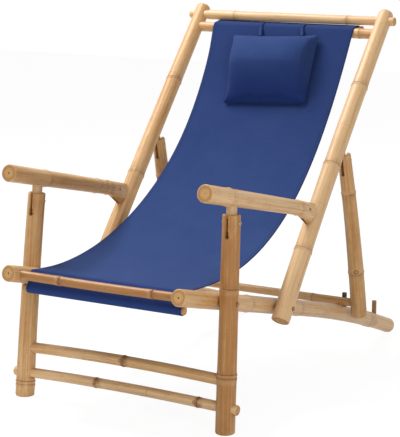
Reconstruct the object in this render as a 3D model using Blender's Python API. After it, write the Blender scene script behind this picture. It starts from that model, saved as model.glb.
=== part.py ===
"""Bamboo lounge chair: a linked frame of bamboo culms that carries a hanging canvas sling.

Metres, +Z up. The chair faces -Y, the floor is z = 0 and the origin is under the middle of its box.
Heights and depths below are measured in the side view: y from the front ends of the side rails.
"""
import math

import bmesh
import bpy
from mathutils import Matrix, Vector

# Fits
FIT = 0.0003
CLOTH_GAP = 0.0004
SWING_GAP = 0.0009

# Bamboo
NODE_SWELL = 0.05
NODE_HALF = 0.006
END_ROUND = 0.003
CULM_SIDES = 16
BAR_SIDES = 12
PIN_SIDES = 10

# Side rails
RAIL_SPACING = 0.456
RAIL_DEPTH = 1.104
RAIL_FRONT_HEIGHT = 0.328
RAIL_SLOPE = 0.2570
RAIL_STRAIGHT = 0.608
RAIL_FRONT_RADIUS = 0.0195
RAIL_REAR_RADIUS = 0.0198
RAIL_FOOT_FLAT = 0.0015
RAIL_NODES = (0.012, 0.33, 0.59, 0.985, 1.03)

# Bars between the rails at the front
FRONT_RAIL_Y = 0.030
FRONT_RAIL_RADIUS = 0.011
SLING_BAR_Y = 0.070
SLING_BAR_LIFT = 0.003
SLING_BAR_RADIUS = 0.010
BAR_TENON = 0.014
FRONT_RAIL_NODES = (0.13, 0.36)

# Front legs
LEG_PIVOT_Y = 0.146
LEG_HEIGHT = 0.487
LEG_LEAN = 0.0965
LEG_SPLAY = 0.0246
LEG_FOOT_RADIUS = 0.0225
LEG_TOP_RADIUS = 0.0205
LEG_RAIL_GAP = 0.0009
LEG_NODES = (0.107, 0.118, 0.352)
LEG_SOCKET_RADIUS = 0.0168
LEG_SOCKET_DEPTH = 0.0135
LEG_SLIT_WIDTH = 0.0062
LEG_SLIT_DEPTH = 0.053
LEG_SLIT_HOLE_RADIUS = 0.0045

# Rungs between the legs
UPPER_RUNG_HEIGHT = 0.1165
UPPER_RUNG_RADIUS = 0.0128
LOWER_RUNG_HEIGHT = 0.055
LOWER_RUNG_RADIUS = 0.0119
RUNG_TIP = 0.009
RUNG_NODES = (0.22, 0.47)

# Back poles and top rails
BACK_PIVOT_Y = 0.407
BACK_ANGLE = math.radians(50.4)
POLE_BELOW_PIVOT = 0.036
POLE_ABOVE_PIVOT = 0.858
POLE_FOOT_RADIUS = 0.0222
POLE_TOP_RADIUS = 0.0193
POLE_RAIL_GAP = 0.0022
LEFT_POLE_BOW = 0.003
RIGHT_POLE_BOW = 0.010
POLE_NODES = (0.171, 0.461, 0.741)
UPPER_TOP_RAIL_FROM_END = 0.028
TOP_RAIL_PITCH = 0.0405
UPPER_TOP_RAIL_RADIUS = 0.0115
LOWER_TOP_RAIL_RADIUS = 0.0130
TOP_RAIL_TIP = 0.012
UPPER_TOP_RAIL_NODES = (0.12, 0.50)
LOWER_TOP_RAIL_NODES = (0.52,)

# Armrests
ARM_ON_POLE = 0.2655
ARM_FRONT_REACH = 0.118
ARM_FRONT_RADIUS = 0.0205
ARM_REAR_RADIUS = 0.0172
ARM_NODE_SHARES = (0.23, 0.75, 0.96)
ARM_LIP_LENGTH = 0.096
ARM_LIP_DROP = 0.0355
ARM_PIVOT_AHEAD = 0.074
ARM_SLOT_WIDTH = 0.0072
POST_RADIUS = 0.0120
POST_SHOWS = 0.0155
POST_IN_ARM = 0.016
POST_IN_LEG = 0.008
POST_PIN_BELOW_TOP = 0.0185

# Tongues: flattened dowel ends that turn on pins in slits
TONGUE_HALF_THICK = 0.0026
TONGUE_HALF_WIDTH = 0.0080
TENON_RADIUS = 0.0085
TENON_IN_POLE = 0.006
PIN_HOLE_SLACK = 0.0010

# Pins
LEG_PIN_RADIUS = 0.0050
BACK_PIN_RADIUS = 0.0050
SMALL_PIN_RADIUS = 0.0030
PIN_TIP = 0.0030

# Prop
PROP_ON_POLE = 0.438
PROP_STANDOFF = 0.0043
PROP_BAR_Y = 0.806
PROP_BAR_RADIUS = 0.0107
PROP_BAR_NODES = (0.16, 0.42)
STRUT_TOP_RADIUS = 0.0158
STRUT_FOOT_RADIUS = 0.0192
STRUT_ABOVE_PIN = 0.0135
STRUT_BELOW_BAR = 0.034
STRUT_SPREAD = 0.003
STRUT_SLIT_DEPTH = 0.052
STRUT_NODES = (0.085, 0.285)

# Stop pegs
PEG_RADIUS = 0.0065
PEG_STANDS = 0.037
PEG_IN_RAIL = 0.020
PEG_PITCH = 0.187
PEG_BAR_GAP = 0.0008

# Motion of the linkage when the back is raised, used for clearance cuts
RAISE = math.radians(12.0)
ARM_PER_RAISE = -0.757
PROP_PER_RAISE = -1.5

# Sling and its hem rods
SLING_SIDE_GAP = 0.004
SLING_THICK = 0.0024
SEAT_PULL = 0.4255
SEAT_DIP = math.radians(-6.0)
BACK_PULL = 0.3699
BACK_RISE = math.radians(61.8)
SEAT_SPREAD = 0.0055
SEAT_SWAY = 0.0035
FRONT_HEM_RADIUS = 0.0095
REAR_HEM_RADIUS = 0.0075
FRONT_HEM_Y = 0.040
FRONT_HEM_LAP = 0.012
REAR_HEM_OVERHANG = 0.012
HEM_SWEEP = math.radians(285.0)
REAR_HEM_SWEEP = math.radians(225.0)

# Pillow and straps
PILLOW_WIDTH = 0.249
PILLOW_TAPER = 0.016
PILLOW_HEIGHT = 0.201
PILLOW_THICK = 0.050
PILLOW_EDGE = 0.005
PILLOW_SEAM = 0.012
PILLOW_PULL = 0.035
PILLOW_DROP = 0.035
PILLOW_SHIFT = -0.008
PILLOW_LEAN = 0.027
STRAP_SHIFT = -0.003
STRAP_PITCH = 0.122
STRAP_WIDTH = 0.010
STRAP_THICK = 0.0016

# Finishes: colour, roughness, metallic
FINISHES = {
    "bamboo": ((0.52, 0.33, 0.17), 0.45, 0.0),
    "post": ((0.56, 0.38, 0.21), 0.55, 0.0),
    "peg": ((0.30, 0.15, 0.06), 0.6, 0.0),
    "rod": ((0.42, 0.26, 0.13), 0.6, 0.0),
    "steel": ((0.45, 0.45, 0.44), 0.35, 1.0),
    "canvas": ((0.045, 0.075, 0.22), 0.9, 0.0),
}

# Values that follow from the sizes above
RAIL_X = RAIL_SPACING / 2
SLING_WIDTH = RAIL_SPACING - 2 * (RAIL_FRONT_RADIUS + SLING_SIDE_GAP)
SIDES = (("left", -1), ("right", 1))
X_AXIS = Vector((1, 0, 0))


def clear_scene():
    """Remove every object of the scene."""
    for thing in list(bpy.data.objects):
        bpy.data.objects.remove(thing, do_unlink=True)


def make_material(name, finish):
    """A Principled material from a finish of (colour, roughness, metallic)."""
    colour, roughness, metallic = finish
    material = bpy.data.materials.new(name)
    material.use_nodes = True
    shader = material.node_tree.nodes["Principled BSDF"]
    shader.inputs["Base Color"].default_value = (*colour, 1.0)
    shader.inputs["Roughness"].default_value = roughness
    shader.inputs["Metallic"].default_value = metallic
    return material


# Side view: where axes and pivots lie
def rail_rear_slope():
    """Slope of the rail's axis at its rear end."""
    fall = RAIL_FRONT_HEIGHT - RAIL_SLOPE * RAIL_DEPTH - rail_rear_height(RAIL_SLOPE)
    return RAIL_SLOPE + 2 * fall / (RAIL_DEPTH - RAIL_STRAIGHT)


def rail_rear_height(slope):
    """Height of the rear end's centre when its underside is cut flat on the floor."""
    return RAIL_REAR_RADIUS / math.hypot(1, slope) - RAIL_FOOT_FLAT - END_ROUND * slope


def rail_height(y):
    """Height of the rail's axis: straight at first, then drooping to the floor."""
    fall = RAIL_FRONT_HEIGHT - RAIL_SLOPE * RAIL_DEPTH - rail_rear_height(rail_rear_slope())
    droop = fall / (RAIL_DEPTH - RAIL_STRAIGHT) ** 2
    return RAIL_FRONT_HEIGHT - RAIL_SLOPE * y - droop * max(0.0, y - RAIL_STRAIGHT) ** 2


def rail_radius(y):
    """Rail radius at depth y."""
    return RAIL_FRONT_RADIUS + (RAIL_REAR_RADIUS - RAIL_FRONT_RADIUS) * y / RAIL_DEPTH


def middle_of_depth():
    """Depth of the middle of the chair's box, between the two ends of the rails."""
    front = -RAIL_FRONT_RADIUS * RAIL_SLOPE / math.hypot(1, RAIL_SLOPE)
    slope = rail_rear_slope()
    rear = RAIL_DEPTH + (RAIL_REAR_RADIUS - END_ROUND) * slope / math.hypot(1, slope)
    return (front + rear) / 2


MIDDLE_Y = middle_of_depth()


def at(x, y, z):
    """A point of the side view, y from the rails' front ends, as a world point."""
    return Vector((x, y - MIDDLE_Y, z))


LEG_PIVOT = at(0, LEG_PIVOT_Y, rail_height(LEG_PIVOT_Y))
BACK_PIVOT = at(0, BACK_PIVOT_Y, rail_height(BACK_PIVOT_Y))
POLE_UP = Vector((0, math.cos(BACK_ANGLE), math.sin(BACK_ANGLE)))
POLE_REAR = Vector((0, math.sin(BACK_ANGLE), -math.cos(BACK_ANGLE)))
POLE_X = RAIL_X + rail_radius(BACK_PIVOT_Y) + POLE_RAIL_GAP + POLE_FOOT_RADIUS
LEG_UP = Vector((0, LEG_LEAN, 1.0))


def leg_radius(height):
    """Leg radius at a height above the floor."""
    return LEG_FOOT_RADIUS + (LEG_TOP_RADIUS - LEG_FOOT_RADIUS) * height / LEG_HEIGHT


LEG_X = RAIL_X + rail_radius(LEG_PIVOT_Y) + LEG_RAIL_GAP + leg_radius(LEG_PIVOT.z)


def leg_point(side, height):
    """Point of a leg's axis at a height above the floor."""
    rise = height - LEG_PIVOT.z
    return LEG_PIVOT + LEG_UP * rise + X_AXIS * side * (LEG_X - LEG_SPLAY * rise)


def pole_point(side, along):
    """Point of a back pole's straight line, by its distance from the pivot."""
    return BACK_PIVOT + POLE_UP * along + X_AXIS * side * POLE_X


def pole_radius(along):
    """Back pole radius by distance from the pivot."""
    share = (along + POLE_BELOW_PIVOT) / (POLE_ABOVE_PIVOT + POLE_BELOW_PIVOT)
    return POLE_FOOT_RADIUS + (POLE_TOP_RADIUS - POLE_FOOT_RADIUS) * share


def pole_bow(side, along):
    """How far a back pole bows forward of its straight line."""
    bow = {-1: LEFT_POLE_BOW, 1: RIGHT_POLE_BOW}[side]
    share = (along + POLE_BELOW_PIVOT) / (POLE_ABOVE_PIVOT + POLE_BELOW_PIVOT)
    return 4 * bow * share * (1 - share)


def pole_axis(side, along):
    """Point of a back pole's own bowed axis."""
    return pole_point(side, along) - POLE_REAR * pole_bow(side, along)


UPPER_TOP_RAIL = POLE_ABOVE_PIVOT - UPPER_TOP_RAIL_FROM_END
LOWER_TOP_RAIL = UPPER_TOP_RAIL - TOP_RAIL_PITCH


def arm_over_leg(side):
    """Point of an armrest's axis above the leg, where its post stands."""
    return leg_point(side, LEG_HEIGHT + POST_SHOWS + ARM_FRONT_RADIUS)


def arm_forward(side):
    """Direction of an armrest's axis, from the back pole to the front."""
    return (arm_over_leg(side) - pole_point(side, ARM_ON_POLE)).normalized()


def arm_pivot(side):
    """Pivot of an armrest on its tenon."""
    return pole_point(side, ARM_ON_POLE) + arm_forward(side) * ARM_PIVOT_AHEAD


def post_pin(side):
    """Point where the post's pin crosses the leg."""
    return leg_point(side, LEG_HEIGHT - POST_PIN_BELOW_TOP)


PROP_OFFSET = pole_radius(PROP_ON_POLE) + PROP_STANDOFF + STRUT_TOP_RADIUS
PROP_BAR_HEIGHT = (rail_height(PROP_BAR_Y) + PROP_BAR_RADIUS + FIT
                   + rail_radius(PROP_BAR_Y) * math.hypot(1, rail_rear_slope()))


def prop_pivot(side):
    """Pivot of a strut behind its back pole."""
    return pole_point(side, PROP_ON_POLE) + POLE_REAR * PROP_OFFSET


def prop_bar(side):
    """Point of the crossbar's axis at a strut."""
    return at(side * (POLE_X + STRUT_SPREAD), PROP_BAR_Y, PROP_BAR_HEIGHT)


def rail_point(side, y, lift=0.0):
    """Point of a side rail's axis, or a little above it."""
    return at(side * RAIL_X, y, rail_height(y) + lift)


# Modelling helpers
def frame_along(tangent):
    """Rotation whose Z runs along the tangent and whose X stays level and sideways where it can."""
    forward = tangent.normalized()
    reference = Vector((0, 1, 0)) if abs(forward.x) > 0.7 else X_AXIS
    across = (reference - forward * reference.dot(forward)).normalized()
    return Matrix((across, forward.cross(across), forward)).transposed().to_4x4()


def loft(rings, sides):
    """Bridge rings of (centre, tangent, half width, half height) into one closed body."""
    shape = bmesh.new()
    loops = []
    for index, (centre, tangent, wide, high) in enumerate(rings):
        place = Matrix.Translation(centre) @ frame_along(tangent) @ Matrix.Diagonal((wide, high, 1, 1))
        closed = index in (0, len(rings) - 1)
        circle = bmesh.ops.create_circle(shape, cap_ends=closed, segments=sides, radius=1, matrix=place)
        loops.append({edge for vert in circle["verts"] for edge in vert.link_edges})
    for lower, upper in zip(loops, loops[1:]):
        walls = bmesh.ops.bridge_loops(shape, edges=list(lower) + list(upper))["faces"]
        bmesh.ops.triangulate(shape, faces=walls)
    bmesh.ops.recalc_face_normals(shape, faces=shape.faces)
    return shape


def add_object(name, shape, finish=None):
    """Turn a bmesh into a named object, shaded smooth, with a material of its own if it has a finish."""
    mesh = bpy.data.meshes.new(name)
    shape.to_mesh(mesh)
    shape.free()
    mesh.shade_smooth()
    mesh.set_sharp_from_angle(angle=math.radians(40))
    thing = bpy.data.objects.new(name, mesh)
    bpy.context.scene.collection.objects.link(thing)
    if finish:
        thing.data.materials.append(make_material(name, finish))
    return thing


def culm_stations(length, start_radius, end_radius, nodes):
    """Stations of (distance, radius) along a tapered culm, with its swollen nodes and eased ends."""
    def radius(distance):
        return start_radius + (end_radius - start_radius) * distance / length

    stations = [(0.0, start_radius - END_ROUND), (END_ROUND, radius(END_ROUND))]
    for node in nodes:
        stations.append((node - NODE_HALF, radius(node - NODE_HALF)))
        stations.append((node, radius(node) * (1 + NODE_SWELL)))
        stations.append((node + NODE_HALF, radius(node + NODE_HALF)))
    stations.append((length - END_ROUND, radius(length - END_ROUND)))
    stations.append((length, end_radius - END_ROUND))
    return sorted(stations)


def straight_culm(name, start, end, start_radius, end_radius, nodes, finish, sides=BAR_SIDES):
    """A straight bamboo culm from start to end."""
    run = end - start
    rings = []
    for distance, radius in culm_stations(run.length, start_radius, end_radius, nodes):
        rings.append((start + run.normalized() * distance, run, radius, radius))
    return add_object(name, loft(rings, sides), finish)


def cross_bar(name, point, half, radius, nodes, finish):
    """A bar along X through a point of the middle plane, to half its length each way."""
    start = point - X_AXIS * half
    return straight_culm(name, start, point + X_AXIS * half, radius, radius, nodes, finish)


def pin(name, start, end, radius, finish):
    """A plain round pin with eased ends."""
    ease = radius * 0.3
    run = (end - start).normalized()
    rings = [(start, run, radius - ease, radius - ease),
             (start + run * ease, run, radius, radius),
             (end - run * ease, run, radius, radius),
             (end, run, radius - ease, radius - ease)]
    return add_object(name, loft(rings, PIN_SIDES), finish)


def tongued_dowel(name, start, shoulder, tip, radius, finish):
    """A round dowel from start to its shoulder, then a flat tongue with a round end about the tip point."""
    run = (tip - start).normalized()
    rings = [(start, run, radius, radius), (shoulder, run, radius, radius),
             (shoulder + run * FIT, run, TONGUE_HALF_THICK, TONGUE_HALF_WIDTH),
             (tip, run, TONGUE_HALF_THICK, TONGUE_HALF_WIDTH)]
    for share in (0.5, 0.8, 0.97):
        beyond = tip + run * TONGUE_HALF_WIDTH * share
        rings.append((beyond, run, TONGUE_HALF_THICK, TONGUE_HALF_WIDTH * math.sqrt(1 - share ** 2)))
    return add_object(name, loft(rings, BAR_SIDES), finish)


def cut(target, cutter):
    """Subtract a hidden cutter from a piece."""
    cutter.hide_render = True
    cutter.display_type = "WIRE"
    tool = target.modifiers.new(cutter.name, "BOOLEAN")
    tool.operation = "DIFFERENCE"
    tool.solver = "EXACT"
    tool.object = cutter


def bore(target, start, end, radius):
    """Drill a round hole whose flats lie at the radius."""
    sides = BAR_SIDES
    outer = radius / math.cos(math.pi / sides)
    rings = [(start, end - start, outer, outer), (end, end - start, outer, outer)]
    cut(target, add_object(target.name + "_bore", loft(rings, sides)))


def cross_bore(target, point, half, radius):
    """Drill a hole along X through a point."""
    bore(target, point - X_AXIS * half, point + X_AXIS * half, radius)


def slit(target, centre, tangent, width, depth_each_way, length):
    """Saw a slit in the side-view plane, centred on a point and running along the tangent."""
    shape = bmesh.new()
    place = Matrix.Translation(centre) @ frame_along(tangent)
    size = Matrix.Diagonal((width, 2 * depth_each_way, length, 1))
    bmesh.ops.create_cube(shape, size=1, matrix=place @ size)
    cut(target, add_object(target.name + "_slit", shape))


def turned(point, pivot, angle):
    """A point turned about an X axis through the pivot."""
    return pivot + Matrix.Rotation(angle, 3, "X") @ (point - pivot)


def clear_of_pole(target, side, along, pivot, swing, behind):
    """Hollow a piece to its back pole, and chamfer it where it swings against the pole; behind is 1 or -1."""
    reach = 4 * POLE_FOOT_RADIUS
    radius = pole_radius(along - reach) * (1 + NODE_SWELL) + SWING_GAP
    bore(target, pole_axis(side, along - reach), pole_axis(side, along + reach), radius)
    face = turned(pole_axis(side, along) + POLE_REAR * behind * radius, pivot, -swing)
    inward = turned(-POLE_REAR * behind, Vector((0, 0, 0)), -swing)
    slit(target, face + inward * reach / 2, inward, 2 * reach, reach, reach)


def pivot_empty(name, point):
    """An empty on a joint's axis, for the pieces that turn about it."""
    empty = bpy.data.objects.new(name, None)
    empty.location = point
    bpy.context.scene.collection.objects.link(empty)
    return empty


def carry(empty, pieces):
    """Parent pieces to an empty without moving them."""
    for piece in pieces:
        piece.parent = empty
        piece.matrix_parent_inverse = Matrix.Translation(-empty.location)


# Base
def side_rail(name, side, finish):
    """A side rail: it runs straight, droops to the floor and is cut flat where it rests there."""
    depths = [distance for distance, _ in culm_stations(RAIL_DEPTH, 1, 1, RAIL_NODES)]
    depths += [0.5 * (RAIL_STRAIGHT + RAIL_DEPTH), 0.83 * RAIL_DEPTH]
    rings = []
    for y in sorted(depths):
        ahead = rail_point(side, y + FIT) - rail_point(side, y - FIT)
        swell = NODE_SWELL if y in RAIL_NODES else 0
        ease = END_ROUND if y in (0.0, RAIL_DEPTH) and y else 0
        radius = rail_radius(y) * (1 + swell) - ease
        rings.append((rail_point(side, y), ahead, radius, radius))
    shape = loft(rings, CULM_SIDES)
    everything = list(shape.verts) + list(shape.edges) + list(shape.faces)
    bmesh.ops.bisect_plane(shape, geom=everything, plane_co=(0, 0, 0), plane_no=(0, 0, 1), clear_inner=True)
    bmesh.ops.holes_fill(shape, edges=[edge for edge in shape.edges if edge.is_boundary])
    rail = add_object(name, shape, finish)
    through = 2 * RAIL_FRONT_RADIUS
    cross_bore(rail, rail_point(side, LEG_PIVOT_Y), through, LEG_PIN_RADIUS + FIT)
    cross_bore(rail, rail_point(side, BACK_PIVOT_Y), through, BACK_PIN_RADIUS + FIT)
    for y, lift, radius in ((FRONT_RAIL_Y, 0, FRONT_RAIL_RADIUS),
                            (SLING_BAR_Y, SLING_BAR_LIFT, SLING_BAR_RADIUS)):
        inner = at(side * (RAIL_X - RAIL_FRONT_RADIUS), y, rail_height(y) + lift)
        bore(rail, inner - X_AXIS * side * through, inner + X_AXIS * side * (BAR_TENON + FIT), radius + FIT)
    for y in peg_depths():
        bore(rail, rail_point(side, y, PEG_STANDS), rail_point(side, y, rail_radius(y) - PEG_IN_RAIL - FIT),
             PEG_RADIUS + FIT)
    return rail


def peg_depths():
    """Depths of the two stop pegs of a rail."""
    front = PROP_BAR_Y + PROP_BAR_RADIUS + PEG_BAR_GAP + PEG_RADIUS
    return front, front + PEG_PITCH


def stop_peg(name, side, y, finish):
    """A stop peg that stands in its rail."""
    return pin(name, rail_point(side, y, rail_radius(y) - PEG_IN_RAIL),
               rail_point(side, y, rail_radius(y) + PEG_STANDS), PEG_RADIUS, finish)


def front_hem_point():
    """Axis of the front hem rod, up against the undersides of the side rails."""
    inset = RAIL_FRONT_RADIUS - FRONT_HEM_LAP
    chord = math.sqrt(rail_radius(FRONT_HEM_Y) ** 2 - inset ** 2)
    below = (chord + FRONT_HEM_RADIUS) * math.hypot(1, RAIL_SLOPE) + FIT
    return at(0, FRONT_HEM_Y, rail_height(FRONT_HEM_Y) - below)


def build_base(finishes):
    """Side rails, the bars between them, the pegs, the front hem rod and the pivot pins."""
    bamboo = finishes["bamboo"]
    inner = RAIL_X - RAIL_FRONT_RADIUS
    cross_bar("front_rail", rail_point(0, FRONT_RAIL_Y), inner + BAR_TENON, FRONT_RAIL_RADIUS,
              FRONT_RAIL_NODES, bamboo)
    cross_bar("front_sling_bar", rail_point(0, SLING_BAR_Y, SLING_BAR_LIFT), inner + BAR_TENON,
              SLING_BAR_RADIUS, (), bamboo)
    cross_bar("front_hem_rod", front_hem_point(), inner + FRONT_HEM_LAP, FRONT_HEM_RADIUS, (),
              finishes["rod"])
    for name, side in SIDES:
        side_rail("side_rail_" + name, side, bamboo)
        for place, y in zip(("front", "rear"), peg_depths()):
            stop_peg("stop_peg_" + place + "_" + name, side, y, finishes["peg"])
        inside = side * (RAIL_X - RAIL_FRONT_RADIUS - PIN_TIP)
        leg_side = side * (LEG_X + leg_radius(LEG_PIVOT.z) + PIN_TIP)
        pole_side = side * (POLE_X + pole_radius(0) + PIN_TIP)
        pin("leg_pivot_pin_" + name, LEG_PIVOT + X_AXIS * inside, LEG_PIVOT + X_AXIS * leg_side,
            LEG_PIN_RADIUS, finishes["peg"])
        pin("back_pivot_pin_" + name, BACK_PIVOT + X_AXIS * inside, BACK_PIVOT + X_AXIS * pole_side,
            BACK_PIN_RADIUS, finishes["peg"])


# Leg frame
def front_leg(name, side, finish):
    """A front leg: a flat foot, a split and hollow top for the post, holes for its pins and rungs."""
    foot = leg_point(side, 0)
    top = leg_point(side, LEG_HEIGHT)
    run = top - foot
    rings = []
    for distance, radius in culm_stations(run.length, LEG_FOOT_RADIUS, LEG_TOP_RADIUS, LEG_NODES):
        tangent = run if distance else Vector((0, 0, 1))
        rings.append((foot + run.normalized() * distance, tangent, radius, radius))
    leg = add_object(name, loft(rings, CULM_SIDES), finish)
    through = 2 * LEG_FOOT_RADIUS
    cross_bore(leg, LEG_PIVOT + X_AXIS * side * LEG_X, through, LEG_PIN_RADIUS + FIT)
    cross_bore(leg, post_pin(side), through, SMALL_PIN_RADIUS + FIT)
    lower = leg_point(side, LOWER_RUNG_HEIGHT)
    cross_bore(leg, lower, through, LOWER_RUNG_RADIUS + FIT)
    upper = leg_point(side, UPPER_RUNG_HEIGHT)
    bore(leg, upper - X_AXIS * side * through, upper + X_AXIS * side * FIT, UPPER_RUNG_RADIUS + FIT)
    along = run.normalized()
    bore(leg, top - along * LEG_SOCKET_DEPTH, top + along * LEG_SOCKET_DEPTH, LEG_SOCKET_RADIUS)
    slit(leg, top, run, LEG_SLIT_WIDTH, through, 2 * LEG_SLIT_DEPTH)
    hole = top - along * LEG_SLIT_DEPTH
    across = Vector((0, through, 0))
    bore(leg, hole - across, hole + across, LEG_SLIT_HOLE_RADIUS)
    return leg


def build_leg_frame(finishes):
    """Legs, rungs and the pins that hold the posts."""
    bamboo = finishes["bamboo"]
    pieces = []
    upper = leg_point(1, UPPER_RUNG_HEIGHT)
    lower = leg_point(1, LOWER_RUNG_HEIGHT)
    tip = lower.x + leg_radius(LOWER_RUNG_HEIGHT) + RUNG_TIP
    pieces.append(cross_bar("upper_rung", Vector((0, upper.y, upper.z)), upper.x, UPPER_RUNG_RADIUS,
                            RUNG_NODES[:1], bamboo))
    pieces.append(cross_bar("lower_rung", Vector((0, lower.y, lower.z)), tip, LOWER_RUNG_RADIUS,
                            RUNG_NODES, bamboo))
    for name, side in SIDES:
        pieces.append(front_leg("front_leg_" + name, side, bamboo))
        half = X_AXIS * (LEG_TOP_RADIUS + PIN_TIP)
        pieces.append(pin("post_pin_" + name, post_pin(side) - half, post_pin(side) + half,
                          SMALL_PIN_RADIUS, finishes["peg"]))
    carry(pivot_empty("leg_axis", LEG_PIVOT), pieces)


# Armrests
def armrest(name, side, finish):
    """An armrest: it ends in a split mouth against the back pole, with a lip that points down."""
    forward = arm_forward(side)
    rear = pole_point(side, ARM_ON_POLE)
    front = arm_over_leg(side) + forward * ARM_FRONT_REACH
    length = (front - rear).length
    rings = []
    plain = length - ARM_LIP_LENGTH
    nodes = [share * plain for share in ARM_NODE_SHARES]
    stations = culm_stations(length, ARM_FRONT_RADIUS, ARM_REAR_RADIUS, nodes)[:-2]
    stations.append((plain, ARM_REAR_RADIUS))
    for distance, radius in stations:
        rings.append((front - forward * distance, -forward, radius, radius))
    slant = ARM_REAR_RADIUS / abs(forward.dot(POLE_REAR))
    rings.append((rear - POLE_UP * ARM_LIP_DROP / 2, POLE_REAR, ARM_REAR_RADIUS, slant + ARM_LIP_DROP / 2))
    arm = add_object(name, loft(rings, CULM_SIDES), finish)
    pivot = arm_pivot(side)
    slot_length = ARM_PIVOT_AHEAD + TONGUE_HALF_WIDTH + SWING_GAP
    slit(arm, rear + forward * slot_length / 2, forward, ARM_SLOT_WIDTH, 2 * ARM_LIP_DROP, slot_length)
    cross_bore(arm, pivot, 2 * ARM_FRONT_RADIUS, SMALL_PIN_RADIUS + FIT)
    seat = leg_point(side, LEG_HEIGHT + POST_SHOWS + POST_IN_ARM + FIT)
    bore(arm, leg_point(side, LEG_HEIGHT - POST_IN_LEG), seat, POST_RADIUS + FIT)
    clear_of_pole(arm, side, ARM_ON_POLE, pivot, ARM_PER_RAISE * RAISE, -1)
    return arm


def build_armrest(name, side, finishes):
    """An armrest and the post under it."""
    top = leg_point(side, LEG_HEIGHT + POST_SHOWS + POST_IN_ARM)
    shoulder = leg_point(side, LEG_HEIGHT - POST_IN_LEG)
    post = tongued_dowel("arm_post_" + name, top, shoulder, post_pin(side), POST_RADIUS, finishes["post"])
    cross_bore(post, post_pin(side), POST_RADIUS, SMALL_PIN_RADIUS + PIN_HOLE_SLACK)
    arm = armrest("armrest_" + name, side, finishes["bamboo"])
    carry(pivot_empty("armrest_axis_" + name, arm_pivot(side)), [arm, post])


# Backrest
def back_pole(name, side, finish):
    """A back pole with the holes for its pivot, the top rails and the two tenons."""
    length = POLE_BELOW_PIVOT + POLE_ABOVE_PIVOT
    stations = culm_stations(length, POLE_FOOT_RADIUS, POLE_TOP_RADIUS, POLE_NODES)
    for share in (0.35, 0.65, 0.92):
        stations.append((length * share, pole_radius(length * share - POLE_BELOW_PIVOT)))
    rings = []
    for distance, radius in sorted(stations):
        along = distance - POLE_BELOW_PIVOT
        ahead = pole_axis(side, along + END_ROUND) - pole_axis(side, along - END_ROUND)
        rings.append((pole_axis(side, along), ahead, radius, radius))
    pole = add_object(name, loft(rings, CULM_SIDES), finish)
    through = 2 * POLE_FOOT_RADIUS
    cross_bore(pole, pole_point(side, 0), through, BACK_PIN_RADIUS + FIT)
    cross_bore(pole, pole_point(side, UPPER_TOP_RAIL), through, UPPER_TOP_RAIL_RADIUS + FIT)
    lower = pole_point(side, LOWER_TOP_RAIL)
    bore(pole, lower - X_AXIS * side * through, lower + X_AXIS * side * FIT, LOWER_TOP_RAIL_RADIUS + FIT)
    forward = arm_forward(side)
    arm = tenon_root(side, ARM_ON_POLE, forward)
    bore(pole, arm - forward * (TENON_IN_POLE + FIT), arm + forward * through, TENON_RADIUS + FIT)
    prop = tenon_root(side, PROP_ON_POLE, POLE_REAR)
    bore(pole, prop - POLE_REAR * (TENON_IN_POLE + FIT), prop + POLE_REAR * through, TENON_RADIUS + FIT)
    return pole


def rear_hem_point():
    """Axis of the rear hem rod, nested behind the gap between the two top rails."""
    wrap = 2 * CLOTH_GAP + SLING_THICK + REAR_HEM_RADIUS
    to_lower = LOWER_TOP_RAIL_RADIUS + wrap
    to_upper = UPPER_TOP_RAIL_RADIUS + wrap
    along = (to_lower ** 2 - to_upper ** 2 + TOP_RAIL_PITCH ** 2) / (2 * TOP_RAIL_PITCH)
    behind = math.sqrt(max(0.0, to_lower ** 2 - along ** 2))
    return pole_point(0, LOWER_TOP_RAIL + along) + POLE_REAR * behind


def tenon_root(side, along, direction):
    """Point where a tenon's line meets its pole's bowed axis."""
    return pole_point(side, along) - direction * pole_bow(side, along) / direction.dot(POLE_REAR)


def tenon_shoulder(point, direction, along):
    """Point of a tenon where it turns flat, just inside its pole's surface."""
    facing = abs(direction.dot(POLE_REAR))
    lean = math.sqrt(max(0.0, 1 - facing ** 2))
    return point + direction * ((pole_radius(along) - TENON_RADIUS * lean) / facing - SWING_GAP)


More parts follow.
